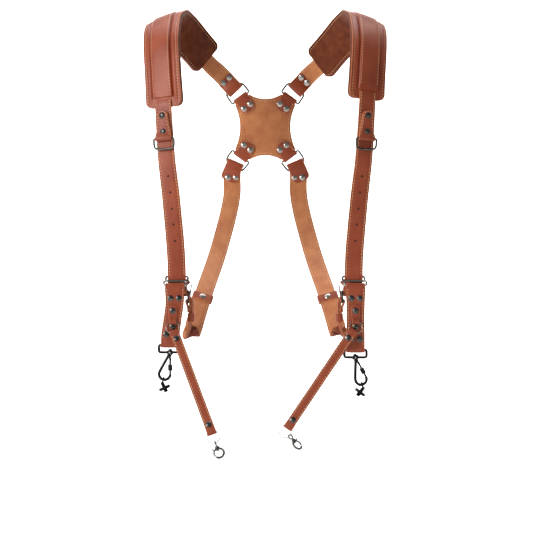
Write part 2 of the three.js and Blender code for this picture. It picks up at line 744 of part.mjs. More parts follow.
// Band round a strap or a bundle, in the frame of a station: half sizes across and through
function keeper(station, halfAcross, low, high, height) {
  const depth = high - low + 2 * gap;
  const width = 2 * (halfAcross + gap);
  const middle = (high + low) / 2;
  const matrix = basis({ across: station.w, out: station.tangent.clone().negate(), bar: station.p });
  const outer = new THREE.BoxGeometry(width + 2 * keeperThick, depth + 2 * keeperThick, height);
  const inner = new THREE.BoxGeometry(width, depth, 2 * height);
  const ring = combine(outer, [], [inner]);
  return ring.translate(0, -middle, 0).applyMatrix4(matrix);
}

function rivetedKeeper() {
  const from = lower.at(keeperAt - inKeeper);
  const to = lower.at(keeperAt + inKeeper);
  const tangent = to.p.clone().sub(from.p).normalize();
  const w = from.w.clone().add(to.w);
  w.addScaledVector(tangent, -w.dot(tangent)).normalize();
  const p = from.p.clone().add(to.p).multiplyScalar(0.5);
  const station = { p, w, tangent, normal: tangent.clone().cross(w) };
  const band = keeper(station, strapWidth / 2, -strapThick / 2, strapThick / 2, keeperHeight);
  const outside = strapThick / 2 + gap + keeperThick;
  const cap = turned([[0, outside - 0.5], [rivetRadius, outside - 0.2],
    [rivetRadius * 0.7, outside + rivetHeight], [0, outside + rivetHeight]], rivetSides);
  return combine(band, [aimed(cap, station.p, station.normal)]);
}

function plainKeeper() {
  const station = { p: vec(mainX, heel.y, plainKeeperZ), w: vec(0, -1, 0), tangent: vec(0, 0, 1) };
  const low = -strapThick / 2;
  return keeper(station, strapWidth / 2, low - strapThick - gap, strapThick / 2, keeperHeight);
}

// Rounded rectangle in the XZ plane, from z = 0 down to -depth
function roundedLoop(half, depth, corner, steps = 2) {
  return [
    ...arc(half - corner, -corner, corner, 90, 0, steps),
    ...arc(half - corner, corner - depth, corner, 0, -90, steps),
    ...arc(corner - half, corner - depth, corner, -90, -180, steps),
    ...arc(corner - half, -corner, corner, 180, 90, steps),
  ];
}

// Slider ring: a loop round the strap, and below its front bar the bar that carries the hanger
const frontBarY = slider.p.y - strapThick / 2 - gap - sliderWire;
const rearBarY = slider.p.y + strapThick / 2 + 2 * gap + sliderWire;
const hangerBarDrop = 6;
const hangerFold = sliderWire + gap + hangerThick / 2;
const hangerBar = vec(slider.p.x + hangerShift, frontBarY - 2.6, slider.p.z - hangerBarDrop);

function sliderRing() {
  const rise = sliderTilt;
  const run = rearBarY - frontBarY;
  const tilt = Math.atan2(run, rise);
  const loopDepth = Math.hypot(run, rise);
  const loop = wire(roundedLoop(sliderHalf, loopDepth, 2), vec(0, 1, 0), sliderWire, 5, true)
    .rotateX(-tilt).translate(slider.p.x, rearBarY, slider.p.z + rise);
  const drop = vec(0, hangerBar.y - frontBarY, hangerBar.z - slider.p.z);
  const second = wire(roundedLoop(sliderHalf, drop.length(), 2), vec(0, 1, 0), sliderWire, 5, true)
    .rotateX(-Math.atan2(-drop.y, -drop.z)).translate(hangerBar.x, frontBarY, slider.p.z);
  return combine(loop, [second]);
}

// Hanger, in its own frame: the bar in its upper fold lies on the X axis
const frameFold = frameWire + gap + hangerThick / 2;
const hangerFront = -hangerFold;
const anchorDrop = 26;
const ringSeat = 22.5;
const anchorRivets = [8.4, ringSeat + 7.2];
const anchorMiddle = anchorDrop + anchorLength / 2;
const anchorLift = 2 * smallRingWire + 3 * gap;

function hanger(length, shiftAt) {
  const halfAt = (s) => {
    const share = THREE.MathUtils.clamp(s / length, 0, 1);
    const ends = hangerWidth + (hangerFoot - hangerWidth) * share;
    return (hangerWaist + (ends - hangerWaist) * (1 - Math.sin(Math.PI * share))) / 2;
  };
  const inRing = sliderHalf - sliderWire - 2 * gap;
  const station = (s, h, left) => {
    const half = s < 3 * sliderWire ? inRing : halfAt(s);
    return { p: vec(shiftAt(s), hangerFront + h, -s), w: vec(1, 0, 0),
      half: left === undefined ? half : rounded(half, endCorner, left) };
  };
  const upper = fold(hangerFold, hangerThick, 26).map(({ s, h, left }) => station(-s, h, left));
  const middle = [0.05, 0.2, 0.35, 0.5, 0.65, 0.8].map((share) => station(share * length, 0));
  const under = fold(frameFold, hangerThick, 38)
    .map(({ s, h, left }) => station(length + s, h, left));
  const body = ribbon([...upper.reverse(), ...middle, ...under], -hangerThick / 2, hangerThick / 2);
  const pairs = [17.5, length - 14.5].flatMap((s) => [-0.5, 0.5].map((side) => (
    rivet(vec(shiftAt(s) + side * rivetPitch, hangerFront, -s), vec(0, -1, 0), hangerThick / 2,
      1.5 * hangerThick + gap))));
  const holes = anchorRivets.map((s) => (
    rivetHole(vec(shiftAt(anchorMiddle), hangerFront, -anchorDrop - s), vec(0, 1, 0), 8)));
  return combine(body, pairs, holes);
}

function tetherAnchor() {
  const flat = hangerFront - hangerThick / 2 - gap - anchorThick / 2;
  const neck = anchorWidth / 2 - 1.4;
  const rows = [
    { q: ringSeat - 4.6, lift: 0 },
    { q: ringSeat - 1.4, lift: 0.95 },
    { q: ringSeat + 0.4, lift: 1 },
    { q: ringSeat + 2.1, lift: 1 },
    { q: ringSeat + 4.6, lift: 0 },
  ];
  const station = (q, lift, half) => (
    { p: vec(0, flat - lift * anchorLift, -anchorDrop - q), w: vec(1, 0, 0), half });
  const topCorner = anchorWidth / 2 - 0.5;
  const stations = [
    ...endSteps(topCorner).map((d) => station(d, 0, rounded(anchorWidth / 2, topCorner, d))),
    ...rows.map(({ q, lift }) => station(q, lift, q < ringSeat - 4 ? anchorWidth / 2 - 0.5 : neck)),
    ...endSteps(neck - 0.3).reverse()
      .map((d) => station(anchorLength - d, 0, rounded(neck, neck - 0.3, d))),
  ];
  const body = ribbon(stations, -anchorThick / 2, anchorThick / 2);
  const caps = anchorRivets.map((q, i) => (
    rivet(vec(0, flat, -anchorDrop - q), vec(0, -1, 0), anchorThick / 2,
      anchorThick / 2 + 2 * gap + hangerThick + i * (gap + hangerThick))));
  return combine(body, caps);
}

// Tether, in its own frame: the split ring's lower wire at the origin and the tether running
// down. Its folds stay clear of the rings' curve, which dips between the tether's edges.
const tetherHalf = tetherWidth / 2;
const tetherFold = smallRingWire + 2.2 * gap + tetherThick / 2;
const ringDip = smallRingRadius - Math.sqrt(smallRingRadius ** 2 - tetherHalf ** 2);

function tether() {
  const slack = ringDip + smallRingWire + gap;
  const station = (s, h, left) => ({ p: vec(0, h - tetherFold, -s), w: vec(1, 0, 0),
    half: left === undefined ? tetherHalf : rounded(tetherHalf, 4, left) });
  const upper = fold(tetherFold, tetherThick, 20, slack)
    .map(({ s, h, left }) => station(-ringDip - s, h, left));
  const foot = tetherLength + ringDip;
  const under = fold(tetherFold, tetherThick, foot + ringDip - 21, slack)
    .map(({ s, h, left }) => station(foot + s, h, left));
  const body = ribbon([...upper.reverse(), ...under], -tetherThick / 2, tetherThick / 2);
  const caps = [9, tetherLength - 9].map((s) => rivet(vec(0, -tetherFold, -s), vec(0, -1, 0),
    tetherThick / 2, 1.5 * tetherThick + gap));
  return combine(body, caps);
}

// Snap hook, in the frame of the tether's lower ring, running down from the ring's centre
const eyeDrop = smallRingRadius + eyeRadius - eyeWire - smallRingWire - gap;
const barrelTop = -(eyeDrop + eyeRadius + eyeWire + gap);
const barrelFoot = barrelTop - snapBarrelLength;
const snapMiddle = barrelFoot - 5.2;

function snapSwivel() {
  const eye = ring(eyeRadius, eyeWire, 10, 4).rotateZ(Math.PI / 2).translate(0, 0, -eyeDrop);
  const shankTop = -(eyeDrop + eyeRadius);
  const headTop = barrelFoot - gap;
  const shank = turned([[0, headTop - 1.2], [snapShank + 0.9, headTop - 1.2],
    [snapShank + 0.9, headTop], [snapShank, headTop], [snapShank, shankTop], [0, shankTop]], 8);
  return combine(eye, [shank]);
}

function snapHook() {
  const bore = snapShank + gap;
  const barrel = turned([[bore, barrelFoot], [snapBarrel, barrelFoot], [snapBarrel, barrelTop],
    [bore, barrelTop], [bore, barrelFoot]], 10);
  const bow = wire(arc(0, snapMiddle, snapRadius, 118, 315, 8), vec(0, 1, 0), snapWire, 5, false);
  const lug = wire(arc(0, snapMiddle, snapRadius, 63, 70, 1), vec(0, 1, 0), snapWire * 0.8, 5, false);
  const neck = turned([[bore + 0.2, barrelFoot], [snapBarrel + 1, barrelFoot],
    [snapBarrel + 1, barrelFoot + 1.6], [bore + 0.2, barrelFoot + 1.6], [bore + 0.2, barrelFoot]], 10);
  return combine(barrel, [bow, lug, neck]);
}

function snapLever() {
  const bar = wire(arc(0, snapMiddle, snapRadius, 52, -23, 4), vec(0, 1, 0), snapWire * 0.75, 5, false);
  const a = rad(47);
  const out = (r) => vec(r * Math.cos(a), 0, snapMiddle + r * Math.sin(a));
  const thumb = wire([out(snapRadius), out(snapRadius + 4)], vec(0, 1, 0), 0.8, 4, false);
  return combine(bar, [thumb]);
}

// Swivel hook. The frame hangs from a bar at the origin, and the boss leans with the hook.
function hookFrame(lean) {
  const loop = wire(roundedLoop(frameHalf, frameDepth, 2.6), vec(0, 1, 0), frameWire, 5, true);
  const half = bossHeight / 2;
  const place = (profile) => turned(profile, 10).rotateY(rad(-lean)).translate(0, 0, -frameDepth);
  const boss = place([[0, -half], [bossRadius * 0.8, -half], [bossRadius, -half / 3],
    [bossRadius, half / 3], [bossRadius * 0.8, half], [0, half]]);
  const bore = place([[0, -bossHeight], [postRadius + gap, -bossHeight],
    [postRadius + gap, bossHeight], [0, bossHeight]]);
  return combine(loop, [boss], [bore]);
}

// The hook's own frame has its origin in the middle of the boss and its gate towards +X
const collar = -(bossHeight / 2 + gap);
const basket = collar - 2.2 - hookLength;
const tangentAngle = 13;
const gateTop = vec(2.35, 0, collar - 5.6);
const gateFoot = vec(hookRadius * Math.cos(rad(tangentAngle)), 0,
  basket + hookRadius * Math.sin(rad(tangentAngle)));
const gateRun = gateFoot.clone().sub(gateTop).normalize();

function hookBody() {
  const head = bossHeight / 2 + gap;
  const post = turned([[0, collar - 2.6], [2.6, collar - 2.6], [3.3, collar - 1.4], [3.3, collar],
    [postRadius, collar], [postRadius, head], [2.9, head], [2.3, head + 1.5], [0, head + 1.5]], 10);
  const spine = wire([vec(-0.9, 0, collar - 1.2), vec(-1.7, 0, collar - 4),
    ...arc(0, basket, hookRadius, 180 - tangentAngle, 365, 9)], vec(0, 1, 0), hookWire, 6, false);
  const lug = wire([vec(0.6, 0, collar - 1), vec(2.1, 0, gateTop.z + 1)], vec(0, 1, 0), gateWire, 6,
    false);
  return combine(post, [spine, lug]);
}

function hookGate() {
  return wire([gateTop, gateFoot], vec(0, 1, 0), gateWire, 8, false);
}

function hookSleeve() {
  const bore = gateWire + gap;
  const half = sleeveLength / 2;
  const profile = [[bore, -half], [sleeveRadius - 0.7, -half], [sleeveRadius, 0.7 - half],
    [sleeveRadius, half - 0.7], [sleeveRadius - 0.7, half], [bore, half], [bore, -half]];
  const at = gateFoot.clone().addScaledVector(gateRun, -(half + 4.8));
  return aimed(turned(profile, 10), at, gateRun.clone().negate());
}

// Camera screw: its ring holds on the hook, and its disc turns on the ring's bar
const screwRingTop = basket - hookRadius + hookWire + gap + screwRingWire;
const screwBar = screwRingTop - screwRingReach;
const screwNeck = 4.8;

function cameraRing() {
  const frame = { across: vec(0, 1, 0), out: vec(0, 0, 1), bar: vec(0, 0, screwBar) };
  return dRing(screwRingHalf, screwRingReach, screwRingWire, frame);
}

// Drawn with the ring's bar on the Y axis
function cameraScrew() {
  const lugHalf = screwRingHalf - 2 * screwRingWire - gap;
  const top = screwRingWire + gap + 1;
  const lug = new THREE.BoxGeometry(2 * top, 2 * lugHalf, screwNeck + top + 0.4)
    .translate(0, 0, (top - screwNeck - 0.4) / 2);
  const foot = -screwNeck - screwDiscThick;
  const disc = turned([[0, foot - screwThreadLength], [screwThread - 0.6, foot - screwThreadLength],
    [screwThread, foot - screwThreadLength + 0.6], [screwThread, foot - 1.2],
    [screwDisc - 0.8, foot - 1.2], [screwDisc - 0.8, foot], [screwDisc, foot + 0.4],
    [screwDisc, -screwNeck - 0.6], [screwDisc - 0.6, -screwNeck], [0, -screwNeck]], 14);
  const bore = turned([[0, -9], [screwRingWire + gap, -9], [screwRingWire + gap, 9], [0, 9]], 8)
    .rotateX(Math.PI / 2);
  return combine(disc, [lug], [bore]);
}

function buckleFrame() {
  const lean = Math.atan2(buckleTop.x - heel.x, buckleLength);
  return wire(roundedLoop(buckleHalf, buckleLength, 2), vec(0, 1, 0), buckleWire, 5, true)
    .rotateZ(Math.PI / 2).rotateY(lean).translate(buckleTop.x, buckleTop.y, buckleTop.z);
}

function buckleProng() {
  const bore = buckleWire + 0.25;
  const root = turned([[bore, -1.9], [bore + 1.1, -1.9], [bore + 1.1, 1.9], [bore, 1.9],
    [bore, -1.9]], 10).rotateX(Math.PI / 2).translate(heel.x, heel.y, heel.z);
  return combine(root, [prongParts(prongRadius)]);
}

const tabs = { upper: plateTab(1), lower: plateTab(-1) };
const dTab = dRingTab();

function buildSide(side) {
  const group = new THREE.Group();
  group.scale.x = side.mirror;
  const add = (parent, name, geometry, material) => {
    parent.add(piece(`${name}_${side.name}`, geometry, material));
  };
  const place = (parent, x, y, z) => {
    const child = new THREE.Group();
    child.position.set(x, y, z);
    parent.add(child);
    return child;
  };

  const pad = makePad(side.slide);
  const { outer, lining } = padPieces(pad);
  add(group, 'pad_outer', outer, leather);
  add(group, 'pad_lining', lining, suede);
  add(group, 'shoulder_strap', shoulderStrap(pad, dTab), leather);
  add(group, 'lower_strap', lowerStrap(), flesh);
  add(group, 'd_ring_tab', dTab.geometry, leather);
  add(group, 'd_ring', dRing(dRingHalf, dRingReach, dRingWire,
    { across: dTab.bar.w, out: dTab.bar.tangent, bar: dTab.bar.p }), gunmetal);
  add(group, 'plate_tab_upper', tabs.upper.geometry, leather);
  add(group, 'plate_tab_lower', tabs.lower.geometry, leather);
  for (const [name, tab] of Object.entries(tabs)) {
    add(group, `plate_ring_${name}`,
      dRing(plateRingHalf, plateRingReach, plateRingWire, tab.arm), gunmetal);
  }
  add(group, 'keeper_riveted', rivetedKeeper(), leather);
  add(group, 'keeper_plain', plainKeeper(), leather);
  add(group, 'buckle_frame', buckleFrame(), gunmetal);
  add(group, 'buckle_prong', buckleProng(), gunmetal);
  add(group, 'slider_ring', sliderRing(), gunmetal);

  const hang = place(group, hangerBar.x, hangerBar.y, hangerBar.z);
  const length = hangerLength * side.hangerShare;
  const shiftAt = (s) => Math.tan(rad(side.hangerLean))
    * THREE.MathUtils.clamp(s - 0.3 * length, 0, 0.7 * length - frameDepth);
  add(hang, 'hanger', hanger(length, shiftAt), leather);
  const anchor = place(hang, shiftAt(anchorMiddle), 0, 0);
  add(anchor, 'tether_anchor', tetherAnchor(), leather);

  const frame = place(hang, shiftAt(length), hangerFront + frameFold, -length);
  add(frame, 'hook_frame', hookFrame(side.hookLean), blackMetal);
  const hook = place(frame, 0, 0, -frameDepth);
  hook.rotation.set(0, rad(-side.hookLean), rad(side.hookTurn), 'YXZ');
  add(hook, 'hook_body', hookBody(), blackMetal);
  add(hook, 'hook_gate', hookGate(), blackMetal);
  add(hook, 'hook_sleeve', hookSleeve(), blackMetal);
  add(hook, 'camera_ring', cameraRing(), blackMetal);
  const screw = place(hook, 0, 0, screwBar);
  const turned180 = side.hookTurn === 0 ? 1 : -1;
  screw.rotation.y = rad(turned180 * (side.screwTilt + side.hookLean));
  add(screw, 'camera_screw', cameraScrew(), blackMetal);

  const ringTilt = 16.7;
  const wireDepth = hangerFront - hangerThick / 2 - gap - smallRingWire;
  const loop = place(anchor, 0, wireDepth - smallRingRadius * Math.sin(rad(ringTilt)),
    -anchorDrop - ringSeat - smallRingRadius * Math.cos(rad(ringTilt)));
  loop.rotation.x = rad(-ringTilt);
  add(loop, 'split_ring', ring(smallRingRadius, smallRingWire, 14, 4), gunmetal);
  const swung = place(loop, 0, 0, 0);
  swung.rotation.y = rad(side.tetherSwing);
  const strip = place(swung, 0, 0, -smallRingRadius);
  strip.rotation.x = rad(ringTilt - side.tetherLean);
  add(strip, 'tether', tether(), leather);
  const end = place(strip, 0, 0, -tetherLength - smallRingRadius);
  add(end, 'tether_ring', ring(smallRingRadius, smallRingWire, 14, 4), gunmetal);
  const snap = place(end, 0, 0, 0);
  snap.rotation.set(0, rad(side.snapSwing - side.tetherSwing), rad(side.snapTurn), 'YXZ');
  add(snap, 'snap_swivel', snapSwivel(), blackMetal);
  add(snap, 'snap_hook', snapHook(), blackMetal);
  add(snap, 'snap_lever', snapLever(), blackMetal);
  return group;
}

const harness = new THREE.Group();
harness.add(piece('back_plate', backPlate([...tabs.upper.holes, ...tabs.lower.holes]), flesh));
for (const side of sides) harness.add(buildSide(side));

export default harness;
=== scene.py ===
"""Looks of the dual camera harness: grain leather, flesh side, suede, thread and metal.

Lengths are in mm and angles in degrees, apart from the camera and the lights, in metres.
Each paired piece is worked out on the side of +X and mirrored for the left side.
"""

import math
from collections import namedtuple

import bpy
from mathutils import Matrix, Vector


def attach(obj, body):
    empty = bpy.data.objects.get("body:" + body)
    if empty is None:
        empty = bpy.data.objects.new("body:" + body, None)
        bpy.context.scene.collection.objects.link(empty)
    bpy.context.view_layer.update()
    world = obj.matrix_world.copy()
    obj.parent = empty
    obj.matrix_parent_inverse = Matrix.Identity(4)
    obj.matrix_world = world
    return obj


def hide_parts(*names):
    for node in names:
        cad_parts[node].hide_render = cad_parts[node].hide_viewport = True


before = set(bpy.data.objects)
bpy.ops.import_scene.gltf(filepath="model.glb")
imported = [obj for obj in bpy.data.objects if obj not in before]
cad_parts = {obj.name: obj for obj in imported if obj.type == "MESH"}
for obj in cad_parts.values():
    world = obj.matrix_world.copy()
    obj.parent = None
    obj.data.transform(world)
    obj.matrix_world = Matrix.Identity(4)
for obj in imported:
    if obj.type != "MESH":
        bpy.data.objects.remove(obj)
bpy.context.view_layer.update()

# Sizes of the CAD frame that the smooth pieces follow
GAP = 0.3
SHOULDER_HALF = 136
CHEST_DEPTH = 80
BACK_DEPTH = 95
SLIDER_DROP = 369
WAIST_HALF = 103
WAIST_DROP = 444
STRAP_WIDTH = 25
STRAP_THICK = 2.4
FOLD_TAIL = 17
END_CORNER = 6
PAD_WIDTH = 55
PAD_FRONT = 163
PAD_BACK = 113
PAD_FILL = 4.2
PAD_LEATHER = 1.8
PAD_CORNER = 9
PAD_MARGIN = 13
BAND_WALL = 2.4
STRAP_CLIMB = 9
PLATE_THICK = 3
PLATE_TOP = 100.6
PLATE_HEIGHT = 94.6
PLATE_ARM_HALF = 43.8
PLATE_ARM_INSET = 23
PLATE_WAIST_HALF = 36.5
PLATE_DIP = 6.5
ARM_DROP = 15.4
TAB_WIDTH = 23
TAB_THICK = 1.9
TAB_LENGTH = 24
TAB_CORNER = 9
# Rivets: radius, distance in a pair, and where they sit: past the slack of a strap's fold,
# off the end of a tab, and as shares of the D tab's length
RIVET_RADIUS = 4.3
RIVET_PITCH = 11.5
STRAP_RIVETS = 11
TAB_RIVETS = 8.5
D_TAB_RIVETS = (0.24, 0.83)
# Rings and their wires
PLATE_RING_HALF = 15
PLATE_RING_REACH = 18.5
PLATE_RING_WIRE = 1.4
D_RING_HALF = 14.6
D_RING_REACH = 15
D_RING_WIRE = 1.5
SMALL_RING_RADIUS = 8.8
SMALL_RING_WIRE = 0.8
# Tab of the D-ring, slider and hanger on the chest strap
D_TAB_TOP_WIDTH = 17
D_TAB_WIDTH = 24
D_TAB_LENGTH = 37
D_TAB_DROP = 174
SLIDER_HALF = 15
SLIDER_WIRE = 1.5
SLIDER_TILT = 6
HANGER_WIDTH = 28
HANGER_WAIST = 24.6
HANGER_FOOT = 25
HANGER_LENGTH = 85
HANGER_THICK = 1.8
HANGER_SHIFT = 2.5
# Tails of the hanger's folds, and its rivets' distance from the upper and the lower bar
HANGER_TAIL = 26
HANGER_FOOT_TAIL = 38
HANGER_TOP_RIVETS = 17.5
HANGER_FOOT_RIVETS = 14.5
# Anchor of the tether, and where the split ring sits in it
ANCHOR_WIDTH = 12
ANCHOR_THICK = 1.5
ANCHOR_LENGTH = 35
ANCHOR_DROP = 26
RING_SEAT = 22.5
# Tether, frame of the hook, buckle and keepers
TETHER_WIDTH = 12.6
TETHER_THICK = 1.3
TETHER_LENGTH = 152
TETHER_TAIL = 20
FRAME_WIRE = 1.9
FRAME_HALF = 15
FRAME_DEPTH = 10.2
FRAME_CORNER = 2.6
BUCKLE_LENGTH = 14
BUCKLE_HALF = 14.6
BUCKLE_WIRE = 1.3
LOOP_CORNER = 2
KEEPER_HEIGHT = 12
KEEPER_THICK = 1.8

# What differs from side to side: how far the pad slides along its strap, the share of the
# hanger's length, and the angles at which the hanging pieces rest
Side = namedtuple("Side", "name mirror slide hanger_lean hanger_share hook_lean tether_swing "
                  "tether_lean hook_turn screw_tilt snap_swing snap_turn")
SIDES = [
    Side("left", -1, 6, 8, 0.95, 14, 19.9, 26.5, 180, 25, 19, 0),
    Side("right", 1, -5, 0, 1.03, 14, 34.5, 8, 0, 38, -40, 50),
]

# Sewing: pitch and size of a stitch, and how far its line lies from an edge
STITCH_PITCH = 4.3
STITCH_LENGTH = 3.2
STITCH_RADIUS = 0.38
STITCH_INSET = 2.6
STITCH_SIDES = 6

Station = namedtuple("Station", "p w half")


def rad(angle):
    return math.radians(angle)


def smoothstep(x, low, high):
    """Share that eases from 0 at low to 1 at high."""
    share = min(max((x - low) / (high - low), 0), 1)
    return share * share * (3 - 2 * share)


def spread(start, stop, step):
    """Even values from start to stop, about step apart."""
    count = max(1, round((stop - start) / step))
    return [start + (stop - start) * i / count for i in range(count + 1)]


def catmull(p0, p1, p2, p3, share):
    """Point between p1 and p2 on a centripetal Catmull-Rom curve."""
    d0, d1, d2 = ((b - a).length ** 0.5 for a, b in ((p0, p1), (p1, p2), (p2, p3)))
    d1 = d1 if d1 > 1e-4 else 1.0
    d0 = d0 if d0 > 1e-4 else d1
    d2 = d2 if d2 > 1e-4 else d1
    t1 = ((p1 - p0) / d0 - (p2 - p0) / (d0 + d1) + (p2 - p1) / d1) * d1
    t2 = ((p2 - p1) / d1 - (p3 - p1) / (d1 + d2) + (p3 - p2) / d2) * d1
    cube = 2 * p1 - 2 * p2 + t1 + t2
    square = -3 * p1 + 3 * p2 - 2 * t1 - t2
    return p1 + t1 * share + square * share**2 + cube * share**3


class Route:
    """Smooth line through rows of (point, direction across), with an even measure of length."""

    def __init__(self, rows):
        self.points = [Vector(p) for p, _ in rows]
        self.turns = [Vector(w) for _, w in rows]
        self.spans = len(rows) - 1
        self.marks = [0.0]
        steps = 400
        last = self.point(0)
        for i in range(steps):
            p = self.point((i + 1) / steps)
            self.marks.append(self.marks[-1] + (p - last).length)
            last = p
        self.length = self.marks[-1]

    def point(self, t):
        place = t * self.spans
        i = min(max(int(place), 0), self.spans - 1)
        p1, p2 = self.points[i], self.points[i + 1]
        p0 = self.points[i - 1] if i > 0 else 2 * p1 - p2
        p3 = self.points[i + 2] if i + 2 <= self.spans else 2 * p2 - p1
        return catmull(p0, p1, p2, p3, place - i)

    def share(self, along):
        """Curve parameter at a length along the route."""
        along = min(max(along, 0), self.length)
        low, high = 0, len(self.marks) - 1
        while high - low > 1:
            middle = (low + high) // 2
            if self.marks[middle] <= along:
                low = middle
            else:
                high = middle
        span = self.marks[high] - self.marks[low]
        return (low + (along - self.marks[low]) / span) / (len(self.marks) - 1)

    def frame(self, along, lift=0.0):
        """Point, direction across, outward normal and tangent at a length along the route."""
        t = self.share(along)
        step = 4e-4
        tangent = (self.point(min(t + step, 1)) - self.point(max(t - step, 0))).normalized()
        place = t * self.spans
        i = min(int(place), self.spans - 1)
        w = self.turns[i].lerp(self.turns[i + 1], smoothstep(place - i, 0, 1))
        w = (w - tangent * w.dot(tangent)).normalized()
        normal = tangent.cross(w)
        return self.point(t) + normal * lift, w, normal, tangent

    def station(self, along, lift=0.0, half=STRAP_WIDTH / 2):
        p, w, _, _ = self.frame(along, lift)
        return Station(p, w, half)

    def where(self, test):
        """First length along the route whose point passes the test."""
        steps = 800
        for i in range(steps + 1):
            along = self.length * i / steps
            if test(self.frame(along)[0]):
                return along
        return self.length


# Routes of the straps: (side, depth, drop) as shares of the body, and the direction across
SHOULDER_ROUTE = [
    ((0.437, 0.96, 0.208), (0.80, -0.10, -0.62)),
    ((0.574, 0.81, 0.160), (0.74, -0.42, -0.50)),
    ((0.728, 0.62, 0.097), (0.74, -0.52, -0.40)),
    ((0.878, 0.37, 0.038), (0.80, -0.44, -0.36)),
    ((0.990, 0.06, 0.007), (0.93, -0.10, -0.35)),
    ((1.038, -0.38, 0.028), (0.91, 0.27, -0.30)),
    ((1.050, -0.74, 0.106), (0.87, 0.48, -0.12)),
    ((1.032, -0.93, 0.226), (0.87, 0.49, 0)),
    ((1.011, -0.99, 0.344), (0.90, 0.42, 0)),
    ((0.981, -1.00, 0.539), (0.95, 0.30, 0)),
    ((0.936, -1.00, 0.697), (0.98, 0.17, 0)),
    ((0.889, -1.00, 0.915), (1, 0.03, 0)),
    ((0.884, -1.00, 1), (1, 0, 0)),
]
LOWER_ROUTE = [
    ((0.470, 0.99, 0.560), (0.97, 0, 0.24)),
    ((0.640, 0.60, 0.730), (0.97, 0, 0.22)),
    ((0.845, -0.22, 0.882), (0.96, 0, 0.26)),
    ((0.940, -0.50, 0.960), (0.96, -0.05, 0.26)),
]


def route_rows(table, half, height):
    """Rows of a route in mm from shares of the body."""
    rows = []
    for (side, depth, drop), w in table:
        deep = BACK_DEPTH if depth > 0 else CHEST_DEPTH
        rows.append((Vector((side * half, depth * deep, -drop * height)), Vector(w)))
    return rows


# Back plate: arms, tabs and rings. Up is 1 for the upper arms and -1 for the lower ones.
PLATE_MID = -(PLATE_TOP + PLATE_HEIGHT / 2)
TAB_LAYER = max(PLATE_THICK / 2 + GAP, PLATE_RING_WIRE + GAP) + TAB_THICK / 2
BOW_FLATNESS = 5
BOW_FOOT = 1.2
STRAP_SKEW = {1: 7, -1: 13}

Arm = namedtuple("Arm", "outer inner across out bar")


def plate_arm(up):
    """Corners, directions and ring bar of one of the plate's arms."""
    outer = Vector((PLATE_ARM_HALF, BACK_DEPTH, PLATE_MID + up * (PLATE_HEIGHT / 2 - ARM_DROP)))
    inner = Vector((PLATE_ARM_INSET, BACK_DEPTH, PLATE_MID + up * (PLATE_HEIGHT / 2)))
    across = (outer - inner).normalized()
    out = Vector((-across.z * up, 0, across.x * up))
    bar = (outer + inner) / 2 + out * (PLATE_RING_WIRE + GAP + 1.5)
    return Arm(outer, inner, across, out, bar)


def basis(across, out, origin):
    """Matrix whose X axis runs across and whose Z axis runs out from the origin."""
    x = across.normalized()
    z = (out - x * out.dot(x)).normalized()
    y = z.cross(x)
    rows = [(x[i], y[i], z[i], origin[i]) for i in range(3)]
    return Matrix((*rows, (0, 0, 0, 1)))


def bow_sag(half, reach, edge):
    """How far a ring's bow lies below its top under the edge of a strap."""
    return (reach - BOW_FOOT) * (1 - (1 - (edge / half) ** BOW_FLATNESS) ** (1 / BOW_FLATNESS))


PLATE_SAG = bow_sag(PLATE_RING_HALF, PLATE_RING_REACH, STRAP_WIDTH / 2)
STRAP_FOLD = PLATE_RING_WIRE + GAP + STRAP_THICK / 2
INSIDE_HEIGHT = GAP + STRAP_THICK / 2
OUTSIDE_HEIGHT = 2 * GAP + PAD_LEATHER + STRAP_THICK / 2


def fold_play(up):
    """Room that a skewed strap needs in its ring."""
    return 0.5 + STRAP_WIDTH / 2 * math.sin(rad(STRAP_SKEW[up]))


def fold_slack(up):
    """Length that a strap runs straight before it closes on its own tail."""
    return PLATE_SAG + 2 * fold_play(up) + PLATE_RING_WIRE


def strap_start(up, rise):
    """First rows of a strap's route, straight and level as far as its fold is slack."""
    arm = plate_arm(up)
    w = Matrix.Rotation(rad(STRAP_SKEW[up]), 3, "Y") @ arm.across
    p = arm.bar + arm.out * (PLATE_RING_REACH - PLATE_SAG - fold_play(up))
    p.y = BACK_DEPTH + rise
    straight = Vector((-w.z * up, 0, w.x * up)) * fold_slack(up)
    return [(p, w), (p + straight, w)]


# Buckle, edge-on behind the hanger
HEEL = Vector((WAIST_HALF + 2.5, 14 - CHEST_DEPTH, -SLIDER_DROP - 28))
BUCKLE_TOP = HEEL + Vector((-1, 0, BUCKLE_LENGTH))
BUCKLE_FOLD = BUCKLE_WIRE + GAP + STRAP_THICK / 2
MAIN_X = HEEL.x - BUCKLE_FOLD
TONGUE_X = MAIN_X - STRAP_THICK - GAP
IN_TOP = BUCKLE_TOP.x + BUCKLE_FOLD
PLAIN_KEEPER_Z = HEEL.z - 22

shoulder = Route(
    strap_start(1, STRAP_FOLD - OUTSIDE_HEIGHT)
    + route_rows(SHOULDER_ROUTE, SHOULDER_HALF, SLIDER_DROP)
)
lower = Route(
    strap_start(-1, STRAP_FOLD)
    + route_rows(LOWER_ROUTE, WAIST_HALF, WAIST_DROP)
    + [
        ((MAIN_X - 1.5, HEEL.y + 13, 2 - WAIST_DROP), (0.8, -0.55, 0.1)),
        ((MAIN_X + 0.3, HEEL.y + 4.5, 4 - WAIST_DROP), (0.42, -0.9, 0)),
        ((MAIN_X, HEEL.y, 12 - WAIST_DROP), (0.06, -1, 0)),
        ((MAIN_X, HEEL.y, 20 - WAIST_DROP), (0, -1, 0)),
        ((MAIN_X, HEEL.y, HEEL.z), (0, -1, 0)),
    ]
)
shoulder_top = shoulder.where(lambda p: p.y < 0)
slider_point = shoulder.frame(shoulder.length, OUTSIDE_HEIGHT)[0]
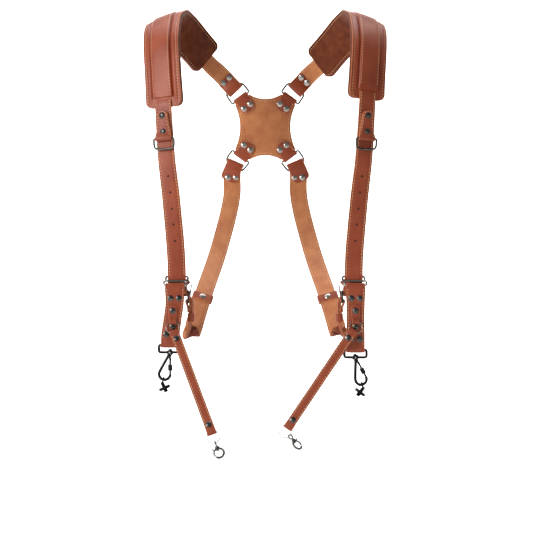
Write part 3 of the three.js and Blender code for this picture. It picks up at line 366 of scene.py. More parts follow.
d_bar_at = shoulder.where(lambda p: p.y < -CHEST_DEPTH / 2 and p.z < -D_TAB_DROP)
keeper_at = lower.where(lambda p: p.z < -0.883 * WAIST_DROP)


# Materials


def linear(code):
    """Linear colour from an sRGB hex code."""
    parts = [int(code[i : i + 2], 16) / 255 for i in (1, 3, 5)]
    return (*(c / 12.92 if c <= 0.04045 else ((c + 0.055) / 1.055) ** 2.4 for c in parts), 1)


def add_node(material, kind, inputs, out=0, **settings):
    """Adds a node with its settings, values and links, and returns one of its outputs."""
    tree = material.node_tree
    made = tree.nodes.new(kind)
    for key, value in settings.items():
        setattr(made, key, value)
    for key, value in inputs.items():
        if isinstance(value, bpy.types.NodeSocket):
            tree.links.new(value, made.inputs[key])
        else:
            made.inputs[key].default_value = value
    return made.outputs[out]


# Colour sockets of a mix node, by number because several share a name
MIX_FIRST = 6
MIX_SECOND = 7
MIX_RESULT = 2
# How far the hollows' colour shows, and how far grains and pores stand out
HOLLOW_SHADE = 0.45
PORE_SHARE = 0.4
RELIEF_STRENGTH = 0.7


def surface(name, cloud, grain, tones, rough, relief, pores=None, **values):
    """Material with clouds of colour and a finer grain, sizes in mm.

    Tones are the two colours of the clouds and the one in the grain's hollows, rough the
    roughness of hollows and heights, relief the grain's depth, and pores the size of
    rounded cells between creases.
    """
    material = bpy.data.materials.new(name)
    material.use_nodes = True
    shader = material.node_tree.nodes["Principled BSDF"]
    for key, value in values.items():
        shader.inputs[key.replace("_", " ")].default_value = value
    place = add_node(material, "ShaderNodeTexCoord", {}, "Object")
    spread_out = []
    for size, detail in ((cloud, 3), (grain, 5)):
        inputs = {"Vector": place, "Scale": 1000 / size, "Detail": detail, "Roughness": 0.6}
        raw = add_node(material, "ShaderNodeTexNoise", inputs)
        inputs = {"Value": raw, "From Min": 0.32, "From Max": 0.68}
        spread_out.append(add_node(material, "ShaderNodeMapRange", inputs))
    clouds, fine = spread_out
    first, second, hollow = (linear(tone) for tone in tones)
    inputs = {"Factor": clouds, MIX_FIRST: first, MIX_SECOND: second}
    base = add_node(material, "ShaderNodeMix", inputs, MIX_RESULT, data_type="RGBA")
    inputs = {"Value": fine, "To Min": HOLLOW_SHADE, "To Max": 0.0}
    share = add_node(material, "ShaderNodeMapRange", inputs)
    inputs = {"Factor": share, MIX_FIRST: base, MIX_SECOND: hollow}
    colour = add_node(material, "ShaderNodeMix", inputs, MIX_RESULT, data_type="RGBA")
    inputs = {"Value": fine, "To Min": rough[0], "To Max": rough[1]}
    roughness = add_node(material, "ShaderNodeMapRange", inputs)
    height = fine
    if pores:
        inputs = {"Vector": place, "Scale": 1000 / pores}
        cells = add_node(material, "ShaderNodeTexVoronoi", inputs, feature="SMOOTH_F1")
        height = add_node(material, "ShaderNodeMath", {0: fine, 1: PORE_SHARE, 2: cells},
                          operation="MULTIPLY_ADD")
    inputs = {"Height": height, "Distance": relief / 1000, "Strength": RELIEF_STRENGTH}
    links = material.node_tree.links
    links.new(colour, shader.inputs["Base Color"])
    links.new(roughness, shader.inputs["Roughness"])
    links.new(add_node(material, "ShaderNodeBump", inputs), shader.inputs["Normal"])
    return material


# Vegetable-tanned top grain, waxed: red-brown with wide mottling, fine pebbles, a low sheen.
# Real pores are about 0.3 mm; they are drawn at 1.1 mm to show in the render.
GRAIN = surface("Grain leather", 38, 1.6, ("#853619", "#9C4724", "#6A260F"), (0.56, 0.42), 0.14,
                pores=1.1, IOR=1.5, Specular_IOR_Level=0.4, Coat_Weight=0.08,
                Coat_Roughness=0.4)
# Brushed flesh side of the same hide: matt tan fibres and cloudy colour
FLESH = surface("Flesh side of the hide", 22, 0.9, ("#B06A40", "#CB8652", "#935130"),
                (0.95, 0.8), 0.2, IOR=1.5, Specular_IOR_Level=0.25, Sheen_Weight=0.25,
                Sheen_Roughness=0.6)
# Split suede lining: dark brown nap that lies over in patches
SUEDE = surface("Suede lining", 11, 0.8, ("#5A2712", "#74391D", "#3A180B"), (0.98, 0.85), 0.25,
                IOR=1.5, Specular_IOR_Level=0.15, Sheen_Weight=0.12, Sheen_Roughness=0.5)
# Sanded edge: lighter orange fibres, darker where it was burnished
EDGE = surface("Cut edge", 4.5, 0.5, ("#A3552E", "#C97B4C", "#874322"), (0.75, 0.5), 0.1,
               IOR=1.5)
# Waxed polyester thread: cream, a little soiled, with its ply turning round it
THREAD = surface("Waxed thread", 14, 0.45, ("#D2A276", "#E3BF95", "#B98A5E"), (0.7, 0.5), 0.1,
                 IOR=1.5, Sheen_Weight=0.2)
# Holes punched in the strap: raw fibres, painted near black for the shade inside each hole, where
# little light reaches
HOLE_SHADE = surface("Punched hole", 3, 0.5, ("#2A120B", "#4A2216", "#1B0B06"), (0.95, 0.8), 0.1,
               IOR=1.5)
# Antique-plated steel of the rings and front rivets: dark grey, brighter where it rubs
GUNMETAL = surface("Antique-plated steel", 7, 0.6, ("#3A3836", "#716E69", "#2C2A29"),
                   (0.38, 0.24), 0.02, Metallic=1.0)
# Nickel-plated steel of the back rivets and split rings: bright, with fine scratches
NICKEL = surface("Nickel-plated steel", 9, 0.6, ("#96928B", "#C6C2BA", "#7E7A74"),
                 (0.34, 0.2), 0.015, Metallic=1.0)
# Black oxide of the hooks: near black, worn to grey on its heights
BLACK = surface("Black oxide steel", 6, 0.6, ("#1D1D1F", "#3D3C3D", "#151516"), (0.42, 0.28),
                0.02, Metallic=1.0)
# Seamless studio paper: matt and almost white
PAPER = surface("Seamless paper", 60, 3, ("#F4F3F1", "#FCFBFA", "#EFEEEC"), (1.0, 0.9), 0.05,
                IOR=1.5, Specular_IOR_Level=0.1)


# Meshes

UP = Vector((0, 0, 1))
ACROSS = Vector((1, 0, 0))
THROUGH = Vector((0, 1, 0))
SHARP_ANGLE = 50
EDGE_SOFTNESS = 0.35


class Shape:
    """A mesh being built in mm, with a material for each face."""

    def __init__(self):
        self.verts = []
        self.faces = []
        self.looks = []

    def grid(self, rows, looks, closed=False, ends=None):
        """Faces between rings of points. Looks gives a material to each strip of faces."""
        start = len(self.verts)
        count = len(rows[0])
        for row in rows:
            self.verts.extend(row)
        for i in range(len(rows) if closed else len(rows) - 1):
            a, b = start + i * count, start + (i + 1) % len(rows) * count
            for k in range(count):
                n = (k + 1) % count
                self.faces.append((a + k, a + n, b + n, b + k))
                self.looks.append(looks[k % len(looks)])
        if ends is not None and not closed:
            last = start + (len(rows) - 1) * count
            self.faces.append(tuple(range(start + count - 1, start - 1, -1)))
            self.faces.append(tuple(range(last, last + count)))
            self.looks.extend([ends, ends])
        return self

    def add(self, other, matrix=None):
        """Takes in another shape, moved by a matrix."""
        start = len(self.verts)
        self.verts.extend(matrix @ v if matrix else v for v in other.verts)
        self.faces.extend(tuple(start + i for i in face) for face in other.faces)
        self.looks.extend(other.looks)
        return self

    def moved(self, matrix):
        return Shape().add(self, matrix)

    def piece(self, name, side, *nodes, body="harness", slot=None):
        """Blender object of the shape on a side, riding on a body in place of CAD nodes."""
        mirror = side.mirror if side else 1
        suffix = f"_{side.name}" if side else ""
        mesh = bpy.data.meshes.new(name + suffix)
        verts = [(v[0] * mirror / 1000, v[1] / 1000, v[2] / 1000) for v in self.verts]
        faces = [face[::-1] for face in self.faces] if mirror < 0 else self.faces
        mesh.from_pydata(verts, [], faces)
        used = list(dict.fromkeys(self.looks))
        for look in used:
            mesh.materials.append(look)
        mesh.polygons.foreach_set("material_index", [used.index(look) for look in self.looks])
        mesh.polygons.foreach_set("use_smooth", [True] * len(faces))
        mesh.set_sharp_from_angle(angle=rad(SHARP_ANGLE))
        mesh.update()
        made = bpy.data.objects.new(name + suffix, mesh)
        bpy.context.scene.collection.objects.link(made)
        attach(made, body + suffix if body != "harness" else body)
        if nodes:
            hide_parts(*(node + suffix for node in nodes))
        return made


def directions(points, closed=False):
    """Unit direction of the line at each of its points."""
    count = len(points)
    found = []
    for i in range(count):
        before = points[i - 1] if i > 0 or closed else points[0]
        after = points[(i + 1) % count] if i < count - 1 or closed else points[-1]
        found.append((after - before).normalized())
    return found


def circle(centre, across, up, radius, sides):
    """Points of a circle, from the across direction towards up."""
    return [centre + across * (radius * math.cos(a)) + up * (radius * math.sin(a))
            for a in (2 * math.pi * k / sides for k in range(sides))]


def frames(stations):
    """(across, normal) of each station, square to the line through them."""
    found = []
    for station, tangent in zip(stations, directions([s.p for s in stations])):
        across = (station.w - tangent * station.w.dot(tangent)).normalized()
        found.append((across, tangent.cross(across)))
    return found


def rounded(half, corner, distance):
    """Half width of a strip at a distance from its end, where its corners are rounded."""
    if distance >= corner:
        return half
    inset = corner - max(distance, 0)
    return half - corner + math.sqrt(max(corner * corner - inset * inset, 0))


def fine_ends(length, step, start_corner, end_corner):
    """Even marks along a length, closer together in its rounded corners."""
    steps = 7
    first = [start_corner * (1 - math.cos(math.pi / 2 * i / steps)) for i in range(steps)]
    last = [length - end_corner * (1 - math.cos(math.pi / 2 * i / steps)) for i in range(steps)]
    middle = spread(start_corner, length - end_corner, step)
    return (first if start_corner else []) + middle + (last[::-1] if end_corner else [])


def smooth(rows, step=2.0, corners=(0, 0)):
    """Even stations on a smooth line through coarse ones, with rounded ends."""
    route = Route([(s.p, s.w) for s in rows])
    stations = []
    for along in fine_ends(route.length, step, *corners):
        place = route.share(along) * route.spans
        i = min(int(place), route.spans - 1)
        half = rows[i].half + (rows[i + 1].half - rows[i].half) * (place - i)
        for corner, distance in zip(corners, (along, route.length - along)):
            if corner:
                half = min(half, rounded(half, corner, distance))
        stations.append(route.station(along, 0, max(half, 0.4)))
    return stations


def leather(stations, thick, seam=STITCH_INSET, inner=FLESH, outer=GRAIN):
    """Strip of leather with soft edges, its grain side outwards, and a line pressed in along
    each seam. Seam is the distance of the stitches from the edge, or 0 without any."""
    high = thick / 2
    edge = EDGE_SOFTNESS * thick
    rows = []
    for station, (across, normal) in zip(stations, frames(stations)):
        half = station.half
        edge_in = min(edge, 0.45 * half)
        points = [(-half + edge_in, -high), (half - edge_in, -high)]
        points += [(half - 0.3 * edge_in, -high + 0.3 * edge), (half, -high + edge)]
        points += [(half, high - edge), (half - 0.3 * edge_in, high - 0.3 * edge)]
        if seam and half > 2 * seam:
            line = half - seam
            tops = [(half - edge_in, 0), (line + 0.9, 0.05), (line, -0.28), (line - 0.9, 0.05)]
            tops += [(line * 0.45, 0.12)]
        else:
            tops = [((half - edge_in) * share, 0.08 * (1 - share))
                    for share in (1, 0.9, 0.7, 0.5, 0.3)]
        points += [(a, high + rise) for a, rise in tops]
        points += [(-a, high + rise) for a, rise in reversed(tops)]
        points += [(-half + 0.3 * edge_in, high - 0.3 * edge), (-half, high - edge)]
        points += [(-half, edge - high), (-half + 0.3 * edge_in, 0.3 * edge - high)]
        rows.append([station.p + across * a + normal * h for a, h in points])
    looks = [inner] + [EDGE] * 5 + [outer] * 9 + [EDGE] * 5
    return Shape().grid(rows, looks, ends=EDGE)


# Share of a stitch's length, swell of its thread, and lift over the leather: its ends dive in
STITCH_SHAPE = [(0, 0.35, -0.4), (0.2, 0.9, -0.03), (0.5, 1, 0.07), (0.8, 0.9, -0.03),
                (1, 0.35, -0.4)]


def stitches(line):
    """Thread stitches along a line of (point, outward normal)."""
    shape = Shape()
    marks = [0.0]
    for (a, _), (b, _) in zip(line, line[1:]):
        marks.append(marks[-1] + (b - a).length)

    def at(along):
        i = 0
        while i < len(marks) - 2 and marks[i + 1] < along:
            i += 1
        share = (along - marks[i]) / max(marks[i + 1] - marks[i], 1e-6)
        (a, m), (b, n) = line[i], line[i + 1]
        return a.lerp(b, share), m.lerp(n, share).normalized()

    for i in range(int(marks[-1] / STITCH_PITCH)):
        rings = []
        for share, swell, lift in STITCH_SHAPE:
            along = i * STITCH_PITCH + share * STITCH_LENGTH
            p, normal = at(along)
            ahead, back = at(along + 0.05)[0], at(along - 0.05)[0]
            across = normal.cross((ahead - back).normalized()).normalized()
            centre = p + normal * lift
            rings.append(circle(centre, across, normal, STITCH_RADIUS * swell, STITCH_SIDES))
        shape.grid(rings, [THREAD], ends=THREAD)
    return shape


def seam_lines(stations, height, inset=STITCH_INSET):
    """Lines of (point, normal) along both edges of a strip, at a height over its middle."""
    framed = [(s, *ways) for s, ways in zip(stations, frames(stations)) if s.half > 1.6 * inset]
    facing = 1 if height > 0 else -1
    return [[(s.p + across * (edge * (s.half - inset)) + normal * height, normal * facing)
             for s, across, normal in framed]
            for edge in (1, -1)]


def joined(shapes, matrix=None):
    """One shape of several, moved by a matrix."""
    whole = Shape()
    for shape in shapes:
        whole.add(shape, matrix)
    return whole


def sew(name, side, lines, matrix=None):
    """Thread piece of the stitches along some lines."""
    joined([stitches(line) for line in lines], matrix).piece(name, side)


def tube(points, radius, normal, closed=False, look=GUNMETAL, sides=12):
    """Round wire along points in one plane, with domed tips where it is open."""
    rows = []
    for p, tangent in zip(points, directions(points, closed)):
        rows.append(circle(p, normal.cross(tangent).normalized(), normal, radius, sides))
    if not closed:
        for end, way in ((0, -1), (-1, 1)):
            tangent = directions(points)[end] * way
            centre = points[end]
            domes = []
            for share in (30, 60, 82):
                shrink = math.cos(rad(share))
                push = tangent * (0.7 * radius * math.sin(rad(share)))
                domes.append([centre + (v - centre) * shrink + push for v in rows[end]])
            rows = domes[::-1] + rows if end == 0 else rows + domes
    return Shape().grid(rows, [look], closed=closed, ends=look)


def turned(profile, look=GUNMETAL, sides=24):
    """Solid of revolution about Z from (radius, height) pairs, closed at its ends."""
    rows = [circle(UP * height, ACROSS, THROUGH, max(radius, 0.01), sides)
            for radius, height in profile]
    return Shape().grid(rows, [look], ends=look)


def polar(x, z, radius, angle):
    """Point in the XZ plane at a radius round x and z, its angle from +X towards +Z."""
    return Vector((x + radius * math.cos(rad(angle)), 0, z + radius * math.sin(rad(angle))))


def arc(x, z, radius, start, stop, steps=16):
    """Points of an arc in the XZ plane, angles from +X towards +Z."""
    return [polar(x, z, radius, start + (stop - start) * i / steps) for i in range(steps + 1)]


def aimed(p, axis):
    """Matrix that puts the origin at p and turns the Z axis to an axis."""
    return Matrix.Translation(p) @ UP.rotation_difference(axis).to_matrix().to_4x4()


# Head of a rivet from its rim to the top of its dome: share of the radius, and height
RIVET_HEAD = [(1, -0.2), (1, 0.25), (0.93, 0.45), (0.8, 0.5), (0.72, 0.75), (0.5, 1.1),
              (0.25, 1.28), (0, 1.32)]


def rivet(p, axis, front, back=None, look=GUNMETAL):
    """Domed caps of a rivet on leather that reaches from back to front along its axis."""
    shape = Shape()
    profile = [(RIVET_RADIUS * share, height) for share, height in RIVET_HEAD]
    for height, way in ((front, 1), (back, -1)):
        if height is not None:
            shape.add(turned(profile, look), aimed(p + axis * (way * height), axis * way))
    return shape


def rounded_loop(half, depth, corner, steps=6):
    """Rounded rectangle in the XZ plane, from z = 0 down to -depth."""
    return [
        *arc(half - corner, -corner, corner, 90, 0, steps),
        *arc(half - corner, corner - depth, corner, 0, -90, steps),
        *arc(corner - half, corner - depth, corner, -90, -180, steps),
        *arc(corner - half, -corner, corner, 180, 90, steps),
    ]


def bow(half, reach, wire):
    """Outline of a D-ring in the XZ plane: a bar on the X axis and a flat bow."""
    steps = 40
    points = [Vector((half - wire, 0, 0))]
    for i in range(steps + 1):
        a = math.pi * i / steps
        x = math.copysign(abs(math.cos(a)) ** (2 / BOW_FLATNESS), math.cos(a)) * half
        rise = max(math.sin(a), 0) ** (2 / BOW_FLATNESS)
        points.append(Vector((x, 0, BOW_FOOT + (reach - BOW_FOOT) * rise)))
    points.append(Vector((wire - half, 0, 0)))
    return points


def wire_bow(half, reach, wire, look=GUNMETAL):
    """D-ring of round wire, with its bar on the X axis and its bow above."""
    return tube(bow(half, reach, wire), wire, -THROUGH, closed=True, look=look)


def wire_loop(half, depth, corner, wire, look=GUNMETAL):
    """Rectangular loop of round wire that hangs from the X axis."""
    return tube(rounded_loop(half, depth, corner), wire, THROUGH, closed=True, look=look)


def move(x=0.0, y=0.0, z=0.0):
    return Matrix.Translation((x, y, z))


def turn(angle, axis):
    return Matrix.Rotation(rad(angle), 4, axis)


# Folds of leather round a bar


def fold(radius, thick, tail, slack=0.0):
    """Points (s, h) of a fold: s runs past the bar and back, and h is the depth behind it."""
    points = [(radius * math.sin(a), radius * (1 - math.cos(a)))
              for a in (math.pi * i / 8 for i in range(9))]
    if slack > 0:
        points.append((-slack, 2 * radius))
    pitch = thick + GAP
    ease = 3 * radius
    for share in (0.5, 1):
        closing = (1 + math.cos(math.pi * share)) / 2
        points.append((-slack - ease * share, pitch + (2 * radius - pitch) * closing))
    if tail - END_CORNER > slack + ease:
        points.append((END_CORNER - tail, pitch))
    points.append((-tail, pitch))
    return points


def folded_end(route, along, lift, radius, tail, slack, out, side):
    """Stations of a strap's end, from the bar to the end of its tail."""
    p, w, normal, tangent = route.frame(along, lift)
    return [Station(p + tangent * (out * s) + normal * (side * h), w, STRAP_WIDTH / 2)
            for s, h in fold(radius, STRAP_THICK, tail, slack)]


def rivet_pair(p, w, normal, front, back, look=GUNMETAL):
    """Two rivets side by side across a strap."""
    return joined([rivet(p + w * (place * RIVET_PITCH), normal, front, back, look)
                   for place in (-0.5, 0.5)])


def pad_span(side):
    """Where a pad starts and ends along the shoulder strap."""
    start = shoulder_top - PAD_BACK + side.slide
    return start, shoulder_top + PAD_FRONT + side.slide


def strap_lift(along, span):
    """Height of the shoulder strap's middle, which dips where it runs inside the pad."""
    inward = min(along - span[0], span[1] - along) - PAD_MARGIN + STRAP_CLIMB
    share = smoothstep(inward, 0, STRAP_CLIMB)
    return OUTSIDE_HEIGHT + (INSIDE_HEIGHT - OUTSIDE_HEIGHT) * share


def shoulder_stations(side):
    """Shoulder strap from its folded end, through the pad and the slider, to the buckle."""
    span = pad_span(side)
    slack = fold_slack(1)
    rows = folded_end(shoulder, 0, OUTSIDE_HEIGHT, STRAP_FOLD, FOLD_TAIL + slack, slack, -1, -1)
    rows.reverse()
    marks = spread(9, span[0] - 2, 14) + spread(span[0] + 4, span[0] + PAD_MARGIN + 1, 3)
    marks += spread(span[0] + PAD_MARGIN + 12, span[1] - PAD_MARGIN - 12, 14)
    marks += spread(span[1] - PAD_MARGIN - 1, span[1] - 4, 3)
    marks += spread(span[1] + 6, shoulder.length - 8, 22) + [shoulder.length]
    rows += [shoulder.station(along, strap_lift(along, span)) for along in marks]
    last = slider_point
    twist = [
        ((last.x - 0.6, last.y + 0.8, last.z - 3.4), (0.98, -0.18, 0)),
        ((last.x - 3.4, last.y + 3.6, last.z - 6.4), (0.85, -0.53, 0)),
        ((last.x - 7.6, last.y + 8.6, last.z - 8.8), (0.52, -0.85, 0)),
        ((IN_TOP + 1.5, HEEL.y, BUCKLE_TOP.z + 3.4), (0.2, -0.98, 0)),
        ((IN_TOP + 0.3, HEEL.y, BUCKLE_TOP.z - 0.8), (0, -1, 0)),
        (((IN_TOP + TONGUE_X) / 2, HEEL.y, (BUCKLE_TOP.z + HEEL.z) / 2 - 0.5), (0, -1, 0)),
        ((TONGUE_X, HEEL.y, HEEL.z + 1), (0, -1, 0)),
        ((TONGUE_X, HEEL.y, PLAIN_KEEPER_Z - 2), (0, -1, 0)),
        ((TONGUE_X, HEEL.y, PLAIN_KEEPER_Z - 8), (0, -1, 0)),
    ]
    rows += [Station(Vector(p), Vector(w), STRAP_WIDTH / 2) for p, w in twist]
    return smooth(rows, 2.2, (END_CORNER, END_CORNER))


def lower_stations():
    """Lower strap from its fold at the plate round the waist to its fold at the buckle."""
    slack = fold_slack(-1)
    rows = folded_end(lower, 0, 0, STRAP_FOLD, FOLD_TAIL + slack, slack, -1, 1)
    rows.reverse()
    rows += [lower.station(along) for along in spread(9, lower.length - 60, 12)]
    rows += [lower.station(along) for along in spread(lower.length - 52, lower.length - 1, 5)]
    rows += folded_end(lower, lower.length, 0, BUCKLE_FOLD, FOLD_TAIL - 2, 0, 1, 1)
    return smooth(rows, 2.2, (END_CORNER, END_CORNER))


HOLE_DROPS = (226, 248, 270, 292, 314)


def build_shoulder_strap(side):
    stations = shoulder_stations(side)
    leather(stations, STRAP_THICK).piece("strap_leather", side, "shoulder_strap",
                                         slot="grain_leather")
    high = STRAP_THICK / 2
    span = pad_span(side)
    pad_front = shoulder.frame(span[1] - PAD_MARGIN)[0].z
    chest = [s for s in stations if s.p.y < -40 and 4 - SLIDER_DROP < s.p.z < pad_front - 2]
    back_edge = shoulder.frame(span[0] + PAD_MARGIN)[0]
    back_start = shoulder.frame(fold_slack(1) + 2)[0]
    ring_bar = shoulder.frame(0)[0]
    back = [s for s in stations if s.p.y > 40 and back_start.x < s.p.x < back_edge.x
            and (s.p - ring_bar).length > 8]
    main = back[len(back) // 3:]
    sew("strap_stitches", side,
        seam_lines(chest, high) + seam_lines(main, high) + seam_lines(main, -high))
    p, w, normal, _ = shoulder.frame(fold_slack(1) + STRAP_RIVETS, OUTSIDE_HEIGHT)
    rivet_pair(p, w, normal, high, 1.5 * STRAP_THICK + GAP, NICKEL).piece(
        "strap_rivets", side, slot="gunmetal")
    # Each hole is a dark disc laid on the strap, and its colour is painted shade for the inside of
    # the hole
    hole_shades = Shape()
    for drop in HOLE_DROPS:
        p, w, normal, _ = shoulder.frame(shoulder.where(lambda q: q.y < 0 and q.z < -drop),
                                         OUTSIDE_HEIGHT)
        rim = [(1.6, -0.1), (1.6, 0.2), (1.35, 0.26), (1.1, 0.16), (0, 0.15)]
        hole_shades.add(turned(rim, HOLE_SHADE, 20), aimed(p + normal * high, normal))
    hole_shades.piece("strap_holes", side)


def build_lower_strap(side):
    stations = lower_stations()
    leather(stations, STRAP_THICK, inner=GRAIN, outer=FLESH).piece(
        "waist_strap_leather", side, "lower_strap", slot="flesh_leather")
    high = STRAP_THICK / 2
    start = lower.frame(0)[0]
    run = [s for s in stations if s.p.y > HEEL.y + 6
           and ((s.p - start).length > 45 or s.p.z < start.z - 45)]
    sew("waist_strap_stitches", side, seam_lines(run, high) + seam_lines(run, -high))
    p, w, normal, _ = lower.frame(fold_slack(-1) + STRAP_RIVETS)
    rivet_pair(p, w, normal, 1.5 * STRAP_THICK + GAP, high, NICKEL).piece(
        "waist_strap_rivets", side, slot="gunmetal")


# Shoulder pads

PAD_SEAM = 3.6
BAND_HALF = STRAP_WIDTH / 2 + GAP + BAND_WALL


def pad_stations(side):
    """Stations of a pad with their distance from its nearer end."""
    start, stop = pad_span(side)
    marks = fine_ends(stop - start, 3.0, PAD_CORNER, PAD_CORNER)
    for end in (PAD_MARGIN, stop - start - PAD_MARGIN):
        marks = [m for m in marks if abs(m - end) > 1.4]
        marks += [end - 0.8, end - 0.2, end + 0.5, end + 1.2]
    found = []
    for mark in sorted(marks):
        from_end = min(mark, stop - start - mark)
        half = rounded(PAD_WIDTH / 2, PAD_CORNER, from_end)
        found.append((shoulder.station(start + mark, 0, half), from_end))
    return found


def pad_section(half, from_end):
    """(across, height) of one half of the outer leather's top, from its edge to the middle:
    the flat seam, the soft flank, the groove and the raised band over the strap."""
    base = GAP + PAD_LEATHER
    flank = smoothstep(from_end, 4, 16)
    band = smoothstep(from_end, PAD_MARGIN - 0.3, PAD_MARGIN + 0.6)
    squeeze = min(1, (half - 7) / (PAD_WIDTH / 2 - 7))
    outer = [(0.5, -0.1), (PAD_SEAM - 1.2, 0.05), (PAD_SEAM, -0.35), (PAD_SEAM + 1.2, 0.25)]
    points = [(half - inset, base + rise) for inset, rise in outer]
    inner = [
        (20.6, 1.15 * flank), (18.8, 1.1 * flank), (17.2, 0.55 * flank), (16.2, -0.2 * band),
        (BAND_HALF + 0.35, -0.55 * band), (BAND_HALF - 0.1, 0.1 * band),
        (BAND_HALF - 0.5, 2.3 * band), (BAND_HALF - 1.4, 3.0 * band),
        (BAND_HALF - 2.3, 2.95 * band), (BAND_HALF - 3.6, 3.25 * band),
        (8, 3.4 * band), (4, 3.5 * band),
    ]
    return points + [(a * squeeze, base + rise) for a, rise in inner]


def leather_section(half, from_end):
    """(across, height) round the outer leather, from the left end of its underside."""
    tops = pad_section(half, from_end)
    points = [(0.4 - half, GAP), (half - 0.4, GAP), (half, GAP + 0.4)]
    points += [(half, GAP + PAD_LEATHER - 0.5)] + tops
    points += [(-a, h) for a, h in reversed(tops)]
    return points + [(-half, GAP + PAD_LEATHER - 0.5), (-half, GAP + 0.4)]


def lining_section(half, from_end):
    """(across, height) round the lining, which its filling swells away from the seam."""
    swell = 1.1 * smoothstep(from_end, 3, 18)
    deep = [(0.3, -0.9), (1.6, 0.1), (PAD_SEAM, 0.55), (PAD_SEAM + 1.6, -0.1),
            (9, -0.55 * swell), (15, -0.9 * swell), (22, -swell)]
    lows = [(half - inset, -PAD_FILL + rise) for inset, rise in deep]
    points = [(-a, h) for a, h in lows] + lows[::-1]
    return points + [(half, -2.4), (half - 0.3, -GAP), (0.3 - half, -GAP), (-half, -2.4)]


def build_pad(side):
    stations = pad_stations(side)
    middle = [s for s, _ in stations]
    outer, filling = (
        [[s.p + across * a + normal * h for a, h in section(s.half, from_end)]
         for (s, from_end), (across, normal) in zip(stations, frames(middle))]
        for section in (leather_section, lining_section)
    )
    looks = [FLESH, EDGE, EDGE, EDGE] + [GRAIN] * (len(outer[0]) - 7) + [EDGE] * 3
    Shape().grid(outer, looks, ends=EDGE).piece("pad_leather", side, "pad_outer",
                                                slot="grain_leather")
    lining = Shape().grid(filling, [SUEDE], ends=SUEDE).piece(
        "pad_suede", side, "pad_lining", slot="suede")

    lines = []
    for height in (GAP + PAD_LEATHER - 0.3, 0.5 - PAD_FILL):
        left, right = seam_lines(middle, height, PAD_SEAM)
        lines.append(left + right[::-1] + left[:1])
    inside = [s for s, from_end in stations if from_end > PAD_MARGIN + 2]
    band = [Station(s.p, s.w, BAND_HALF - 2.3 + STITCH_INSET) for s in inside]
    sew("pad_stitches", side, lines + seam_lines(band, GAP + PAD_LEATHER + 2.95))


# Back plate, its tabs and rings

PLATE_SEAM = 3.2
# The border's stitches stop this far from the middle of a ring's bar
SEAM_END = 16


def build_plate():
    """X-shaped plate with hollow sides, and its border of stitches."""
    upper = plate_arm(1)
    under = plate_arm(-1)

    def curve(a, control, b, steps=16):
        return [a * (1 - t) ** 2 + control * (2 * t * (1 - t)) + b * t**2
                for t in (i / steps for i in range(steps + 1))]

    def flat(x, z):
        return Vector((x, BACK_DEPTH, z))

    def mirrored(p):
        return flat(-p.x, p.z)

    waist = 2 * PLATE_WAIST_HALF - PLATE_ARM_HALF
    corners = []
    corners += curve(mirrored(upper.inner), flat(0, upper.inner.z - 2 * PLATE_DIP), upper.inner)
    corners += curve(upper.outer, flat(waist, PLATE_MID), under.outer)
    corners += curve(under.inner, flat(0, under.inner.z + 2 * PLATE_DIP), mirrored(under.inner))
    corners += curve(mirrored(under.outer), flat(-waist, PLATE_MID), mirrored(upper.outer))
    outline = []
    for a, b in zip(corners, corners[1:] + corners[:1]):
        steps = max(1, round((b - a).length / 3))
        outline += [a.lerp(b, i / steps) for i in range(steps)]
    inward = [tangent.cross(THROUGH) for tangent in directions(outline, closed=True)]
    middle = flat(0, PLATE_MID)
    if (outline[20] + inward[20] - middle).length > (outline[20] - middle).length:
        inward = [-n for n in inward]

    def ring_at(inset, rise):
        return [p + n * inset + THROUGH * rise for p, n in zip(outline, inward)]

    high = PLATE_THICK / 2
    rows = [ring_at(1.4, -high), ring_at(0.5, 0.1 - high), ring_at(0, 0.8 - high),
            ring_at(0, high - 0.8), ring_at(0.5, high - 0.1), ring_at(1.4, high)]
    shape = Shape().grid(rows, [EDGE], ends=FLESH)
    shape.looks[-1] = GRAIN
    shape.piece("plate_leather", None, "back_plate", slot="flesh_leather")

    bars = [arm.bar for arm in (upper, under)]
    bars += [mirrored(bar) for bar in bars]
    runs = []
    for way in (-1, 1):
        runs.append([])
        for p in ring_at(PLATE_SEAM, 0) + ring_at(PLATE_SEAM, 0)[:1]:
            point = p + THROUGH * (way * high)
            if min((point - bar).length for bar in bars) > SEAM_END:
                runs[-1].append((point, THROUGH * way))
            else:
                runs.append([])
    sew("plate_stitches", None, [run for run in runs if len(run) > 3])


TAB_SEAM = 2.2


def build_tab(side, up, name):
    """Tab that holds the plate on both faces, folded round its ring."""
    arm = plate_arm(up)
    matrix = basis(arm.across, arm.out, arm.bar)
    radius = TAB_LAYER
    half = TAB_WIDTH / 2
    places = [(-radius, -TAB_LENGTH), (-radius, -TAB_LENGTH * 0.5), (-radius, -3)]
    places += [(-radius * math.cos(a), radius * math.sin(a))
               for a in (math.pi * i / 8 for i in range(9))]
    places += [(radius, -3), (radius, -TAB_LENGTH * 0.5), (radius, -TAB_LENGTH)]
    rows = [Station(matrix @ Vector((0, y, z)), matrix.to_3x3() @ ACROSS, half) for y, z in places]
    stations = smooth(rows, 1.6, (TAB_CORNER, TAB_CORNER))
    leather(stations, TAB_THICK, inner=GRAIN, outer=FLESH).piece(
        f"tab_{name}", side, f"plate_tab_{name}", slot="grain_leather")
    left, right = seam_lines(stations, -TAB_THICK / 2, TAB_SEAM)
    middle = len(left) // 2 - 4
    sew(f"tab_stitches_{name}", side, [left[:middle][::-1] + right[:middle],
                                       left[-middle:] + right[-middle:][::-1]])
    reach = radius + TAB_THICK / 2
    rivet_pair(matrix @ Vector((0, 0, TAB_RIVETS - TAB_LENGTH)), arm.across, THROUGH, reach,
               reach, NICKEL).piece(f"tab_rivets_{name}", side, slot="gunmetal")
    wire_bow(PLATE_RING_HALF, PLATE_RING_REACH, PLATE_RING_WIRE).moved(matrix).piece(
        f"link_ring_{name}", side, f"plate_ring_{name}", slot="gunmetal")


# D-ring tab on the chest strap

D_TAB_SEAM = 2.0


